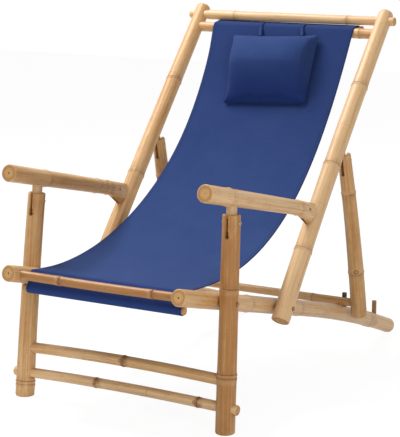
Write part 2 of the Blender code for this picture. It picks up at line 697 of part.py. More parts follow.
def build_backrest(finishes):
    """Back poles, top rails, tenons with their pins, and the rear hem rod."""
    bamboo = finishes["bamboo"]
    tip = POLE_X + pole_radius(UPPER_TOP_RAIL) + TOP_RAIL_TIP
    pieces = [cross_bar("upper_top_rail", pole_point(0, UPPER_TOP_RAIL), tip, UPPER_TOP_RAIL_RADIUS,
                        UPPER_TOP_RAIL_NODES, bamboo),
              cross_bar("lower_top_rail", pole_point(0, LOWER_TOP_RAIL), POLE_X, LOWER_TOP_RAIL_RADIUS,
                        LOWER_TOP_RAIL_NODES, bamboo),
              cross_bar("rear_hem_rod", rear_hem_point(), SLING_WIDTH / 2 + REAR_HEM_OVERHANG,
                        REAR_HEM_RADIUS, (), finishes["rod"])]
    for name, side in SIDES:
        pieces.append(back_pole("back_pole_" + name, side, bamboo))
        forward = arm_forward(side)
        arm = tenon_root(side, ARM_ON_POLE, forward)
        shoulder = tenon_shoulder(arm, forward, ARM_ON_POLE)
        tenon = tongued_dowel("arm_tenon_" + name, arm - forward * TENON_IN_POLE, shoulder, arm_pivot(side),
                              TENON_RADIUS, finishes["post"])
        cross_bore(tenon, arm_pivot(side), TENON_RADIUS, SMALL_PIN_RADIUS + FIT)
        half = X_AXIS * (ARM_REAR_RADIUS + PIN_TIP / 2)
        arm_pin = pin("armrest_pin_" + name, arm_pivot(side) - half, arm_pivot(side) + half,
                      SMALL_PIN_RADIUS, finishes["peg"])
        prop = tenon_root(side, PROP_ON_POLE, POLE_REAR)
        shoulder = tenon_shoulder(prop, POLE_REAR, PROP_ON_POLE)
        prop_tenon = tongued_dowel("prop_tenon_" + name, prop - POLE_REAR * TENON_IN_POLE, shoulder,
                                   prop_pivot(side), TENON_RADIUS, finishes["post"])
        cross_bore(prop_tenon, prop_pivot(side), TENON_RADIUS, SMALL_PIN_RADIUS + FIT)
        half = X_AXIS * (STRUT_TOP_RADIUS + PIN_TIP)
        prop_pin = pin("prop_pin_" + name, prop_pivot(side) - half, prop_pivot(side) + half,
                       SMALL_PIN_RADIUS, finishes["steel"])
        pieces += [tenon, arm_pin, prop_tenon, prop_pin]
    carry(pivot_empty("back_axis", BACK_PIVOT), pieces)


# Prop
def prop_strut(name, side, finish):
    """A strut: split at the top round the prop tenon, holed for the crossbar."""
    down = (prop_bar(side) - prop_pivot(side)).normalized()
    top = prop_pivot(side) - down * STRUT_ABOVE_PIN
    strut = straight_culm(name, top, prop_bar(side) + down * STRUT_BELOW_BAR, STRUT_TOP_RADIUS,
                          STRUT_FOOT_RADIUS, STRUT_NODES, finish, CULM_SIDES)
    clear_of_pole(strut, side, PROP_ON_POLE, prop_pivot(side), PROP_PER_RAISE * RAISE, 1)
    through = 2 * STRUT_FOOT_RADIUS
    slit(strut, top, down, LEG_SLIT_WIDTH, through, 2 * STRUT_SLIT_DEPTH)
    hole = top + down * STRUT_SLIT_DEPTH
    across = Vector((0, through, 0))
    bore(strut, hole - across, hole + across, LEG_SLIT_HOLE_RADIUS)
    cross_bore(strut, prop_pivot(side), through, SMALL_PIN_RADIUS + FIT)
    bar = prop_bar(side)
    bore(strut, bar - X_AXIS * side * through, bar + X_AXIS * side * FIT, PROP_BAR_RADIUS + FIT)
    return strut


def build_prop(finishes):
    """The two struts and the crossbar that rests on the rails."""
    bar = prop_bar(1)
    pieces = [cross_bar("prop_crossbar", Vector((0, bar.y, bar.z)), bar.x, PROP_BAR_RADIUS, PROP_BAR_NODES,
                        finishes["bamboo"])]
    for name, side in SIDES:
        pieces.append(prop_strut("prop_strut_" + name, side, finishes["bamboo"]))
    pivot = prop_pivot(1)
    carry(pivot_empty("prop_axis", Vector((0, pivot.y, pivot.z))), pieces)


# Cloth in the side view: complex numbers hold y and z
def flat(point):
    """Side-view position of a point as a complex number."""
    return complex(point.y, point.z)


def arc(centre, radius, start, sweep, steps):
    """Points of an arc about a centre."""
    angles = [start + sweep * step / steps for step in range(steps + 1)]
    return [centre + radius * complex(math.cos(angle), math.sin(angle)) for angle in angles]


def outer_tangent(first, first_radius, second, second_radius, turn):
    """Angle of the normal shared by two circles that the cloth passes on one side; turn is 1 or -1."""
    gap = second - first
    lean = math.asin((first_radius - second_radius) / abs(gap))
    return math.atan2(gap.imag, gap.real) - turn * (math.pi / 2 - lean)


def bezier(start, start_pull, end_pull, end, steps):
    """Points of a cubic curve, without its two ends."""
    points = []
    for i in range(1, steps):
        t = i / steps
        s = 1 - t
        points.append(s ** 3 * start + 3 * s * s * t * start_pull + 3 * s * t * t * end_pull + t ** 3 * end)
    return points


def sling_line():
    """The sling's middle line from the front to the rear hem, and where its hanging run starts and ends."""
    around_rod = FRONT_HEM_RADIUS + CLOTH_GAP + SLING_THICK / 2
    around_rear = REAR_HEM_RADIUS + CLOTH_GAP + SLING_THICK / 2
    around_bar = SLING_BAR_RADIUS + CLOTH_GAP + SLING_THICK / 2
    around_top = LOWER_TOP_RAIL_RADIUS + CLOTH_GAP + SLING_THICK / 2
    rod = flat(front_hem_point())
    bar = flat(rail_point(0, SLING_BAR_Y, SLING_BAR_LIFT))
    top = flat(pole_point(0, LOWER_TOP_RAIL))
    rear = flat(rear_hem_point())
    meet = outer_tangent(rod, around_rod, bar, around_bar, -1)
    leave = math.pi / 2 + SEAT_DIP
    arrive = math.pi / 2 + BACK_RISE
    part = outer_tangent(top, around_top, rear, around_rear, -1)
    line = arc(rod, around_rod, meet + HEM_SWEEP, -HEM_SWEEP, 14)
    line += arc(bar, around_bar, meet, leave - meet, 4)
    start = line[-1]
    first = len(line) - 1
    end = top + around_top * complex(math.cos(arrive), math.sin(arrive))
    seat = start + SEAT_PULL * complex(math.cos(SEAT_DIP), math.sin(SEAT_DIP))
    back = end - BACK_PULL * complex(math.cos(BACK_RISE), math.sin(BACK_RISE))
    line += bezier(start, seat, back, end, 22)
    last = len(line)
    line += arc(top, around_top, arrive, part - arrive, 4)
    line += arc(rear, around_rear, part, -REAR_HEM_SWEEP, 10)
    return line, first, last


def build_sling(finishes):
    """The canvas sling as one sheet: hem sleeves at both ends and a hanging seat and back between."""
    line, first, last = sling_line()
    shape = bmesh.new()
    columns = 6
    bmesh.ops.create_grid(shape, x_segments=columns, y_segments=len(line) - 1, size=0.5)
    for vert in shape.verts:
        index = round((vert.co.y + 0.5) * (len(line) - 1))
        share = min(max((index - first) / (last - first), 0.0), 1.0)
        wave = math.sin(2 * math.pi * share)
        half = SLING_WIDTH / 2 + SEAT_SPREAD * wave
        vert.co = Vector((2 * vert.co.x * half - SEAT_SWAY * wave, line[index].real, line[index].imag))
    sling = add_object("sling", shape, finishes["canvas"])
    skin = sling.modifiers.new("cloth", "SOLIDIFY")
    skin.thickness = SLING_THICK
    skin.offset = 0


# Pillow
def along_back(drop):
    """Point and upward direction of the sling's line at a drop below its top edge."""
    line, first, last = sling_line()
    rest = drop
    for upper, lower in zip(line[last:first:-1], line[last - 1:first - 1:-1]):
        span = abs(upper - lower)
        if rest <= span:
            return upper + (lower - upper) * rest / span, (upper - lower) / span
        rest -= span
    return line[first], (line[first + 1] - line[first]) / abs(line[first + 1] - line[first])


def build_pillow(finishes):
    """The head pillow, crowned and drawn in at its sides, and the two straps that it hangs on."""
    shape = bmesh.new()
    bmesh.ops.create_cube(shape, size=2)
    bmesh.ops.subdivide_edges(shape, edges=shape.edges, cuts=6, use_grid_fill=True)
    clear = SLING_THICK / 2 + CLOTH_GAP
    for vert in shape.verts:
        across, up, out = vert.co
        low = (1 - up) / 2
        half = (PILLOW_WIDTH - PILLOW_TAPER * low) / 2
        x = PILLOW_SHIFT + PILLOW_LEAN * low + across * half * (1 - PILLOW_PULL * (1 - up * up))
        drop = PILLOW_DROP + (PILLOW_HEIGHT / 2) * (1 - up * (1 - PILLOW_PULL * (1 - across * across)))
        crown = math.sqrt(max(0.0, (1 - across ** 4) * (1 - up ** 4)))
        swell = PILLOW_THICK - PILLOW_SEAM if out > 0 else PILLOW_SEAM
        stand = PILLOW_SEAM + out * (PILLOW_EDGE / 2 + (swell - PILLOW_EDGE / 2) * crown)
        point, rise = along_back(drop)
        point += rise * 1j * (clear + stand)
        vert.co = Vector((x, point.real, point.imag))
    bmesh.ops.recalc_face_normals(shape, faces=shape.faces)
    pieces = [add_object("pillow", shape, finishes["canvas"])]
    top = flat(pole_point(0, LOWER_TOP_RAIL))
    for name, side in SIDES:
        middle = STRAP_SHIFT + side * STRAP_PITCH / 2
        across = (middle - PILLOW_SHIFT) / (PILLOW_WIDTH / 2)
        sewn = PILLOW_DROP + PILLOW_HEIGHT / 2 * PILLOW_PULL * (1 - across ** 2) - CLOTH_GAP
        line = []
        lift = []
        for share in (1.0, 0.5, 0.0):
            point, rise = along_back(sewn * share)
            lift.append(rise * 1j)
            line.append(point + lift[-1] * PILLOW_SEAM * share)
        radius = abs(line[-1] - top)
        start = math.atan2((line[-1] - top).imag, (line[-1] - top).real)
        for share in (1 / 3, 2 / 3, 1.0):
            angle = start + (math.pi / 2 - start) * share
            lift.append(complex(math.cos(angle), math.sin(angle)))
            line.append(top + radius * lift[-1])
        strap = bmesh.new()
        bmesh.ops.create_grid(strap, x_segments=1, y_segments=len(line) - 1, size=0.5)
        for vert in strap.verts:
            index = round((vert.co.y + 0.5) * (len(line) - 1))
            point = line[index] + lift[index] * (clear + STRAP_THICK / 2)
            vert.co = Vector((middle + vert.co.x * STRAP_WIDTH, point.real, point.imag))
        piece = add_object("pillow_strap_" + name, strap, finishes["canvas"])
        skin = piece.modifiers.new("cloth", "SOLIDIFY")
        skin.thickness = STRAP_THICK
        skin.offset = 0
        pieces.append(piece)
    carry(pivot_empty("pillow_axis", pole_point(0, LOWER_TOP_RAIL)), pieces)


def main():
    """Build the whole chair."""
    clear_scene()
    build_base(FINISHES)
    build_leg_frame(FINISHES)
    for name, side in SIDES:
        build_armrest(name, side, FINISHES)
    build_backrest(FINISHES)
    build_prop(FINISHES)
    build_sling(FINISHES)
    build_pillow(FINISHES)


main()
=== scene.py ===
"""Dress the bamboo lounge chair: fine culms, dowels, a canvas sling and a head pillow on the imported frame.

Metres, +Z up. The chair faces -Y and the right side is +X. Depths y are measured from the front ends of
the side rails, and ChairLines turns them into points of the frame.
"""
import logging
import math
from dataclasses import dataclass, field
from enum import Enum
from typing import Any, Callable, Optional, Sequence, Union

import bmesh
import bpy
from mathutils import Matrix, Vector, noise
from mathutils.bvhtree import BVHTree
from mathutils.kdtree import KDTree

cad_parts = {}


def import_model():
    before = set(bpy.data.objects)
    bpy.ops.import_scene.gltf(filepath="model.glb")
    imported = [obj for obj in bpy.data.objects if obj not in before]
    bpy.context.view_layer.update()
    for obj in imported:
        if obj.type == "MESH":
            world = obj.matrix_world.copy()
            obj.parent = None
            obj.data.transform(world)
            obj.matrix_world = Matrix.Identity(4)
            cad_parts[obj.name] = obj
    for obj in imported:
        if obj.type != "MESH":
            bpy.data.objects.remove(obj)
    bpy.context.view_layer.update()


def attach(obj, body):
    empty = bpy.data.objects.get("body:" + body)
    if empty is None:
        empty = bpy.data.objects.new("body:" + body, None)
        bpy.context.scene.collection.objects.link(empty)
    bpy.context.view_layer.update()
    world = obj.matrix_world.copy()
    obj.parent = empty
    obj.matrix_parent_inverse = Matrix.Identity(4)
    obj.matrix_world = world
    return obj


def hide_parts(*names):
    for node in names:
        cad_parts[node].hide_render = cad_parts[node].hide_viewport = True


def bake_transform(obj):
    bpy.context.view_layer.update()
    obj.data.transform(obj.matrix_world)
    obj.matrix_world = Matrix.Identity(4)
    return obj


LOG = logging.getLogger("lounge_chair")
ORIGIN = Vector((0, 0, 0))
X_AXIS = Vector((1, 0, 0))
Y_AXIS = Vector((0, 1, 0))
WHITE = (1, 1, 1, 1)
# From this share of X on, a direction counts as sideways
SIDEWAYS = 0.7
# How far the backrest can be raised, in degrees
RAISE = 12.0
Colour = tuple[float, float, float]
Value = Union[float, int, "Wire", Sequence[float]]
Laid = tuple[Vector, float, tuple[float, float]]


class Side(Enum):
    """The two sides of the chair, named as the frame's nodes are: the right one is at +X."""

    LEFT = -1
    RIGHT = 1

    @property
    def label(self) -> str:
        """The side's name as the frame's nodes write it."""
        return self.name.lower()


class Grain(Enum):
    """Which finish a turned piece has on its skin."""

    CANE = "cane"
    BARE = "bare_cane"
    PEG = "dark_peg"
    ROD = "hem_cane"
    STEEL = "steel_pin"


# Small sums
def clamp(value: float) -> float:
    """A number held between 0 and 1."""
    return min(1.0, max(0.0, value))


def between(pair: Sequence[float], part: float, whole: float = 1.0) -> float:
    """A number on the way from the first of a pair to the second."""
    return pair[0] + (pair[1] - pair[0]) * part / whole


def heading(angle: float) -> complex:
    """A unit step in the side view, where a complex number stands for depth and height."""
    return complex(math.cos(angle), math.sin(angle))


def side_view(point: Vector) -> complex:
    """A point of the frame in the side view."""
    return complex(point.y, point.z)


def from_side(x: float, point: complex) -> Vector:
    """A point of the frame from its side view."""
    return Vector((x, point.real, point.imag))


# Objects
def link(name: str, data: Any) -> bpy.types.Object:
    """Put data into the scene as a named object.

    Args:
        name: The object's name.
        data: Its mesh, lamp or camera.

    Returns:
        The object.
    """
    item = bpy.data.objects.new(name, data)
    bpy.context.scene.collection.objects.link(item)
    return item


def add(name: str, shape: bmesh.types.BMesh, *materials: bpy.types.Material) -> bpy.types.Object:
    """Turn a shape into a named object.

    Args:
        name: The object's name.
        shape: Its shape, which is used up.
        materials: Its materials.

    Returns:
        The object.
    """
    mesh = bpy.data.meshes.new(name)
    shape.to_mesh(mesh)
    shape.free()
    for material in materials:
        mesh.materials.append(material)
    return link(name, mesh)


def keep(piece: bpy.types.Object) -> None:
    """Replace a piece's mesh by what its modifiers make of it.

    Args:
        piece: The piece, which loses its modifiers.
    """
    scene_now = bpy.context.evaluated_depsgraph_get()
    done = bpy.data.meshes.new_from_object(piece.evaluated_get(scene_now))
    plain = piece.data
    piece.modifiers.clear()
    piece.data = done
    bpy.data.meshes.remove(plain)
    done.name = piece.name


def cloth_grid(columns: int, rows: int, lay: Callable[[Vector], Laid]) -> bmesh.types.BMesh:
    """A sheet of cloth that knows its edges and its flat coordinates.

    Args:
        columns: Faces across it.
        rows: Faces along it.
        lay: Gives the place, the distance to the edge and the flat place of a point of the unit square.

    Returns:
        The sheet.
    """
    shape = bmesh.new()
    bmesh.ops.create_grid(shape, x_segments=columns, y_segments=rows, size=0.5)
    cloth = shape.loops.layers.uv.new("cloth")
    edge = shape.verts.layers.float.new("edge")
    flat = {}
    for vert in shape.verts:
        vert.co, vert[edge], flat[vert] = lay(vert.co.copy())
    for face in shape.faces:
        for loop in face.loops:
            loop[cloth].uv = flat[loop.vert]
    bmesh.ops.recalc_face_normals(shape, faces=shape.faces)
    return shape


# Shader maths
class Wire:
    """A shader socket that takes part in sums as a number does."""

    def __init__(self, paint: "Paint", socket: bpy.types.NodeSocket) -> None:
        """Keep the socket and the material it belongs to."""
        self.paint = paint
        self.socket = socket

    def _sum(self, operation: str, first: Value, second: Value = 0.0) -> "Wire":
        """Add a Math node."""
        return self.paint.node("ShaderNodeMath", {"operation": operation}, {0: first, 1: second})

    def __add__(self, other: Value) -> "Wire":
        """This plus another."""
        return self._sum("ADD", self, other)

    __radd__ = __add__

    def __sub__(self, other: Value) -> "Wire":
        """This less another."""
        return self._sum("SUBTRACT", self, other)

    def __rsub__(self, other: Value) -> "Wire":
        """Another less this."""
        return self._sum("SUBTRACT", other, self)

    def __mul__(self, other: Value) -> "Wire":
        """This times another."""
        return self._sum("MULTIPLY", self, other)

    __rmul__ = __mul__

    def __abs__(self) -> "Wire":
        """The size of this without its sign."""
        return self._sum("ABSOLUTE", self)

    def sine(self) -> "Wire":
        """The sine of this, in radians."""
        return self._sum("SINE", self)

    def at_most(self, limit: Value) -> "Wire":
        """The smaller of this and a limit."""
        return self._sum("MINIMUM", self, limit)

    def ease(self, low: float, high: float) -> "Wire":
        """A smooth step from 0 at low to 1 at high; low may be the larger.

        Args:
            low: Where the step starts.
            high: Where it ends.

        Returns:
            The step's value.
        """
        start, end, out = (low, high, (0.0, 1.0)) if low < high else (high, low, (1.0, 0.0))
        return self.paint.node("ShaderNodeMapRange", {"interpolation_type": "SMOOTHSTEP"},
                               {"Value": self, "From Min": start, "From Max": end,
                                "To Min": out[0], "To Max": out[1]})

    def peak(self, middle: float, half: float) -> "Wire":
        """A smooth bump of height 1 at the middle that ends half a width away."""
        return abs(self - middle).ease(half, 0.0)


class Paint:
    """A material, or the surround, while its nodes are put together."""

    def __init__(self, name: str, world: Optional[bpy.types.World] = None) -> None:
        """Start without nodes.

        Args:
            name: The name of the material.
            world: The surround, where it is painted and not a material.
        """
        self.material = world or bpy.data.materials.new(name)
        self.material.use_nodes = True
        self.tree = self.material.node_tree
        self.tree.nodes.clear()

    def node(self, kind: str, settings: Optional[dict[str, Any]] = None,
             inputs: Optional[dict[Any, Value]] = None, output: Any = 0) -> Wire:
        """Add any node.

        Args:
            kind: The node's type.
            settings: Its properties, set first; stops are a ramp's (place, colour) pairs.
            inputs: The values or links of its sockets, by name or number.
            output: Which output to return.

        Returns:
            The chosen output.
        """
        made = self.tree.nodes.new(kind)
        for key, value in (settings or {}).items():
            if key == "stops":
                self._stops(made.color_ramp, value)
            else:
                setattr(made, key, value)
        for key, value in (inputs or {}).items():
            if isinstance(value, Wire):
                self.tree.links.new(value.socket, made.inputs[key])
            else:
                made.inputs[key].default_value = value
        return Wire(self, made.outputs[output])

    @staticmethod
    def _stops(ramp: bpy.types.ColorRamp, stops: Sequence[tuple[float, Colour]]) -> None:
        """Set a ramp's stops from (place, colour) pairs."""
        while len(ramp.elements) < len(stops):
            ramp.elements.new(1.0)
        for element, (place, colour) in zip(ramp.elements, stops):
            element.position = place
            element.color = (*colour, 1.0)

    def mix(self, share: Value, first: Union[Colour, Wire], second: Union[Colour, Wire],
            how: str = "MIX") -> Wire:
        """Mix two colours.

        Args:
            share: How much of the second colour shows.
            first: The first colour.
            second: The second colour.
            how: The blend type.

        Returns:
            The mixed colour.
        """
        first, second = (colour if isinstance(colour, Wire) else (*colour, 1.0) for colour in (first, second))
        return self.node("ShaderNodeMix", {"data_type": "RGBA", "blend_type": how},
                         {0: share, 6: first, 7: second}, 2)

    def attribute(self, name: str, output: str = "Fac") -> Wire:
        """An attribute of the mesh."""
        return self.node("ShaderNodeAttribute", {"attribute_name": name}, {}, output)

    def scaled(self, vector: Wire, scale: Sequence[float]) -> Wire:
        """A vector multiplied part by part."""
        return self.node("ShaderNodeVectorMath", {"operation": "MULTIPLY"}, {0: vector, 1: tuple(scale)})

    def cloud(self, vector: Wire, scale: Sequence[float], detail: float = 2.0, rough: float = 0.5) -> Wire:
        """Noise on a stretched vector."""
        return self.node("ShaderNodeTexNoise", {}, {"Vector": self.scaled(vector, scale), "Scale": 1.0,
                                                    "Detail": detail, "Roughness": rough})

    def bump(self, height: Wire, strength: float, distance: float) -> Wire:
        """A surface normal from a height."""
        return self.node("ShaderNodeBump", {}, {"Height": height, "Strength": strength, "Distance": distance})

    def surface(self, inputs: dict[str, Value]) -> bpy.types.Material:
        """Close the material with a Principled shader.

        Args:
            inputs: The shader's sockets; constants stay on the shader.

        Returns:
            The finished material.
        """
        shader = self.node("ShaderNodeBsdfPrincipled", {}, inputs)
        self.close(shader)
        return self.material

    def close(self, shader: Wire, kind: str = "ShaderNodeOutputMaterial") -> None:
        """Link a shader to an output."""
        end = self.tree.nodes.new(kind)
        self.tree.links.new(shader.socket, end.inputs["Surface"])


# Finishes
@dataclass(frozen=True)
class CaneFinish:
    """The skin of a dried culm: streaked tan, with scars at its nodes and a satin gloss."""

    name: str = "cane_skin"
    pale: Colour = (0.75, 0.50, 0.265)
    tan: Colour = (0.61, 0.345, 0.135)
    brown: Colour = (0.375, 0.16, 0.034)
    rust: Colour = (0.46, 0.19, 0.06)
    knotted: Colour = (0.27, 0.105, 0.026)
    scar: Colour = (0.115, 0.046, 0.016)
    line_at: float = 0.0022
    line_half: float = 0.0016
    rough: float = 0.39
    coat: float = 0.05
    coat_rough: float = 0.22
    specular: float = 0.36

    def make(self) -> bpy.types.Material:
        """Put the finish together.

        Returns:
            The finish as a material.
        """
        paint = Paint(self.name)
        culm = paint.attribute("culm", "Vector")
        tone = paint.attribute("tone")
        ring = paint.attribute("ring")
        bud = paint.attribute("bud")
        gloss = paint.attribute("gloss")
        knot = paint.attribute("knot")
        bands = paint.cloud(culm, (120, 120, 3.5), 3.0, 0.55)
        broad = paint.cloud(culm, (26, 26, 7), 2.0, 0.5)
        mottle = paint.cloud(culm, (95, 95, 42), 4.0, 0.6)
        streak = paint.cloud(culm, (820, 820, 8), 3.0, 0.6)
        stripe = paint.cloud(culm, (310, 310, 5), 3.0, 0.65)
        blotch = paint.cloud(culm, (70, 70, 24), 5.0, 0.68).ease(0.54, 0.72)
        fleck = paint.cloud(culm, (330, 330, 120), 2.0, 0.5).ease(0.64, 0.74)
        shade = (bands - 0.5) * 1.25 + (broad - 0.5) * 0.9 + (mottle - 0.5) * 0.5 + tone
        skin = paint.mix(shade.ease(0.0, 0.6), self.pale, self.tan)
        skin = paint.mix(shade.ease(0.5, 1.1), skin, self.brown)
        skin = paint.mix(blotch * 0.42, skin, self.rust)
        skin = paint.mix(stripe.ease(0.45, 0.7) * 0.42, skin, self.brown)
        skin = paint.mix(stripe.ease(0.5, 0.3) * (0.45 - tone * 0.4), skin, self.pale)
        skin = paint.mix(streak.ease(0.42, 0.75) * 0.34, skin, self.brown)
        skin = paint.mix(streak.ease(0.52, 0.25) * 0.2, skin, self.pale)
        skin = paint.mix(fleck * 0.35, skin, self.brown)
        wax = ring.ease(-0.016, -0.004) * ring.ease(0.0014, -0.001)
        stain = ring.ease(0.022, 0.003) * ring.ease(-0.008, 0.0)
        skin = paint.mix(wax * 0.2, skin, self.pale)
        skin = paint.mix((stain * mottle.ease(0.25, 0.6) * knot).at_most(0.9), skin, self.knotted)
        line = ring.peak(self.line_at, self.line_half) * mottle.ease(0.15, 0.5)
        skin = paint.mix((line * (0.4 + knot * 0.6)).at_most(0.95), skin, self.scar)
        lip = bud.peak(0.8, 0.35)
        skin = paint.mix(bud.ease(1.1, 0.6) * 0.5, skin, self.rust)
        skin = paint.mix((lip + bud.ease(0.25, 0.1)).at_most(1.0) * 0.75, skin, self.scar)
        height = streak * 0.35 + mottle * 0.5 - line * 0.8 - lip * 0.5
        rough = self.rough + mottle * 0.22 + line * 0.2 - gloss * 0.15
        coat = self.coat + gloss * mottle.ease(0.35, 0.6) * 0.7
        return paint.surface({"Base Color": skin, "Roughness": rough, "Coat Weight": coat,
                              "Coat Roughness": self.coat_rough, "Specular IOR Level": self.specular,
                              "Normal": paint.bump(height, 0.3, 0.0006)})


@dataclass(frozen=True)
class CutFinish:
    """A sawn face of a culm: pale pith, fine vessels that crowd towards the skin, and a darker rim."""

    name: str = "cut_cane"
    pith: Colour = (0.63, 0.365, 0.14)
    wood: Colour = (0.49, 0.25, 0.083)
    vessel: Colour = (0.22, 0.098, 0.033)
    eye: Colour = (0.05, 0.022, 0.01)

    def make(self) -> bpy.types.Material:
        """Put the finish together.

        Returns:
            The finish as a material.
        """
        paint = Paint(self.name)
        culm = paint.attribute("culm", "Vector")
        rim = paint.attribute("rim")
        patch = paint.cloud(culm, (160, 160, 60), 3.0, 0.6)
        vessels = paint.node("ShaderNodeTexVoronoi", {}, {"Vector": paint.scaled(culm, (620, 620, 40)),
                                                          "Scale": 1.0}, "Distance")
        dots = vessels.ease(0.34, 0.12) * (0.2 + rim * 0.55)
        skin = paint.mix(rim.ease(0.3, 1.0), self.pith, self.wood)
        skin = paint.mix(patch.ease(0.42, 0.75) * 0.55, skin, self.wood)
        skin = paint.mix(dots, skin, self.vessel)
        skin = paint.mix((rim + patch * 0.12).peak(0.74, 0.08) * 0.5, skin, self.vessel)
        skin = paint.mix((rim + patch * 0.1).ease(0.19, 0.12) * paint.attribute("pith"), skin, self.eye)
        return paint.surface({"Base Color": skin, "Roughness": 0.62 + patch * 0.2,
                              "Normal": paint.bump(patch - dots * 0.6, 0.4, 0.0005)})


@dataclass(frozen=True)
class TurnedFinish:
    """A plain turned or peeled stick, with long fibres."""

    name: str
    light: Colour
    dark: Colour
    rough: float

    def make(self) -> bpy.types.Material:
        """Put the finish together.

        Returns:
            The finish as a material.
        """
        paint = Paint(self.name)
        culm = paint.attribute("culm", "Vector")
        fibre = paint.cloud(culm, (900, 900, 25), 3.0, 0.6)
        patch = paint.cloud(culm, (110, 110, 45), 3.0, 0.6)
        shade = fibre * 0.6 + patch * 0.55 + paint.attribute("tone") - 0.5
        skin = paint.mix(shade.ease(0.25, 0.75), self.light, self.dark)
        return paint.surface({"Base Color": skin, "Roughness": self.rough + patch * 0.15,
                              "Normal": paint.bump(fibre + patch, 0.35, 0.0004)})


@dataclass(frozen=True)
class SteelFinish:
    """A dull steel pin with fine scratches."""

    name: str = "steel_pin"
    bright: Colour = (0.40, 0.375, 0.34)
    dull: Colour = (0.18, 0.13, 0.09)

    def make(self) -> bpy.types.Material:
        """Put the finish together.

        Returns:
            The finish as a material.
        """
        paint = Paint(self.name)
        culm = paint.attribute("culm", "Vector")
        scratch = paint.cloud(culm, (1500, 1500, 90), 3.0, 0.6)
        rust = paint.cloud(culm, (260, 260, 260), 3.0, 0.6).ease(0.5, 0.72)
        skin = paint.mix(rust * 0.7, self.bright, self.dull)
        return paint.surface({"Base Color": skin, "Metallic": 0.9 - rust * 0.5,
                              "Roughness": 0.3 + scratch * 0.25 + rust * 0.2,
                              "Normal": paint.bump(scratch, 0.2, 0.0002)})


@dataclass(frozen=True)
class CanvasFinish:
    """Navy cotton canvas in plain weave, with slubs, a soft bloom, rows of stitches and painted shade over
    chosen spans.
    """

    name: str
    sewn: bool = True
    turn: float = 0.0
    navy: Colour = (0.028, 0.059, 0.188)
    worn: Colour = (0.041, 0.077, 0.220)
    deep: Colour = (0.010, 0.023, 0.105)
    # The deeper navy of the painted shade on the front sleeve and the pillow's lower half
    fresh: Colour = (0.009, 0.027, 0.165)
    thread: Colour = (0.020, 0.040, 0.15)
    pitch: float = 0.0011
    # Spans of painted shade along the cloth, and how strong the deeper navy is
    shaded: tuple[float, ...] = ()
    unbleached: tuple[float, float] = (0.125, 0.100)
    fresh_share: float = 0.4
    stitch_at: tuple[float, ...] = (0.009,)
    stitch_pitch: float = 0.0032

    def make(self) -> bpy.types.Material:
        """Put the finish together.

        Returns:
            The finish as a material.
        """
        paint = Paint(self.name)
        if self.sewn:
            cloth = paint.node("ShaderNodeUVMap", {"uv_map": "cloth"})
        else:
            where = paint.node("ShaderNodeTexCoord", {}, {}, "Object")
            cloth = paint.node("ShaderNodeMapping", {}, {"Vector": where, "Rotation": (self.turn, 0.0, 0.0)})
        across = paint.node("ShaderNodeSeparateXYZ", {}, {"Vector": cloth}, "X")
        along = paint.node("ShaderNodeSeparateXYZ", {}, {"Vector": cloth}, "Y")
        rate = 2 * math.pi / self.pitch
        warp = (across * rate).sine()
        weft = (along * rate).sine()
        weave = warp * weft
        slub = paint.cloud(cloth, (700, 26, 1), 3.0, 0.6)
        pick = paint.cloud(cloth, (24, 760, 1), 3.0, 0.6)
        bloom = paint.cloud(cloth, (9, 9, 9), 4.0, 0.55)
        threads = (slub + pick) * 0.5
        skin = paint.mix(bloom.ease(0.3, 0.75) * 0.55, self.navy, self.worn)
        skin = paint.mix(threads.ease(0.42, 0.7) * 0.4, skin, self.worn)
        skin = paint.mix(threads.ease(0.5, 0.3) * 0.4, skin, self.deep)
        skin = paint.mix(weave.ease(0.1, -0.9) * 0.35, skin, self.deep)
        # Painted shade: the cloth turns deeper navy along the given span of its length, up the sling's back
        if self.shaded:
            skin = paint.mix(along.ease(*self.shaded) * 0.48, skin, self.deep)
        # Painted shade: a deeper navy over the given span, the sling's front sleeve or the pillow's lower
        # half
        skin = paint.mix(along.ease(*self.unbleached) * self.fresh_share, skin, self.fresh)
        height = weave * 0.5 + threads * 0.8
        if self.sewn:
            edge = paint.attribute("edge")
            # Painted shade along the side edges of the cloth, where it folds
            skin = paint.mix(edge.ease(0.0042, 0.001) * 0.8, skin, self.deep)
            dash = (along * (2 * math.pi / self.stitch_pitch)).sine().ease(-0.4, 0.1)
            for place in self.stitch_at:
                row = edge.peak(place, 0.0009) * dash
                crease = edge.peak(place, 0.003)
                # Painted shade in the dip along each stitch row
                skin = paint.mix(crease * 0.45, skin, self.deep)
                skin = paint.mix(row * 0.7, skin, self.thread)
                height = height - crease * 1.2 + row * 0.8
        return paint.surface({"Base Color": skin, "Roughness": 0.86 + threads * 0.1,
                              "Normal": paint.bump(height, 0.35, 0.0005), "Sheen Weight": 0.03,
                              "Sheen Roughness": 0.5, "Specular IOR Level": 0.1})


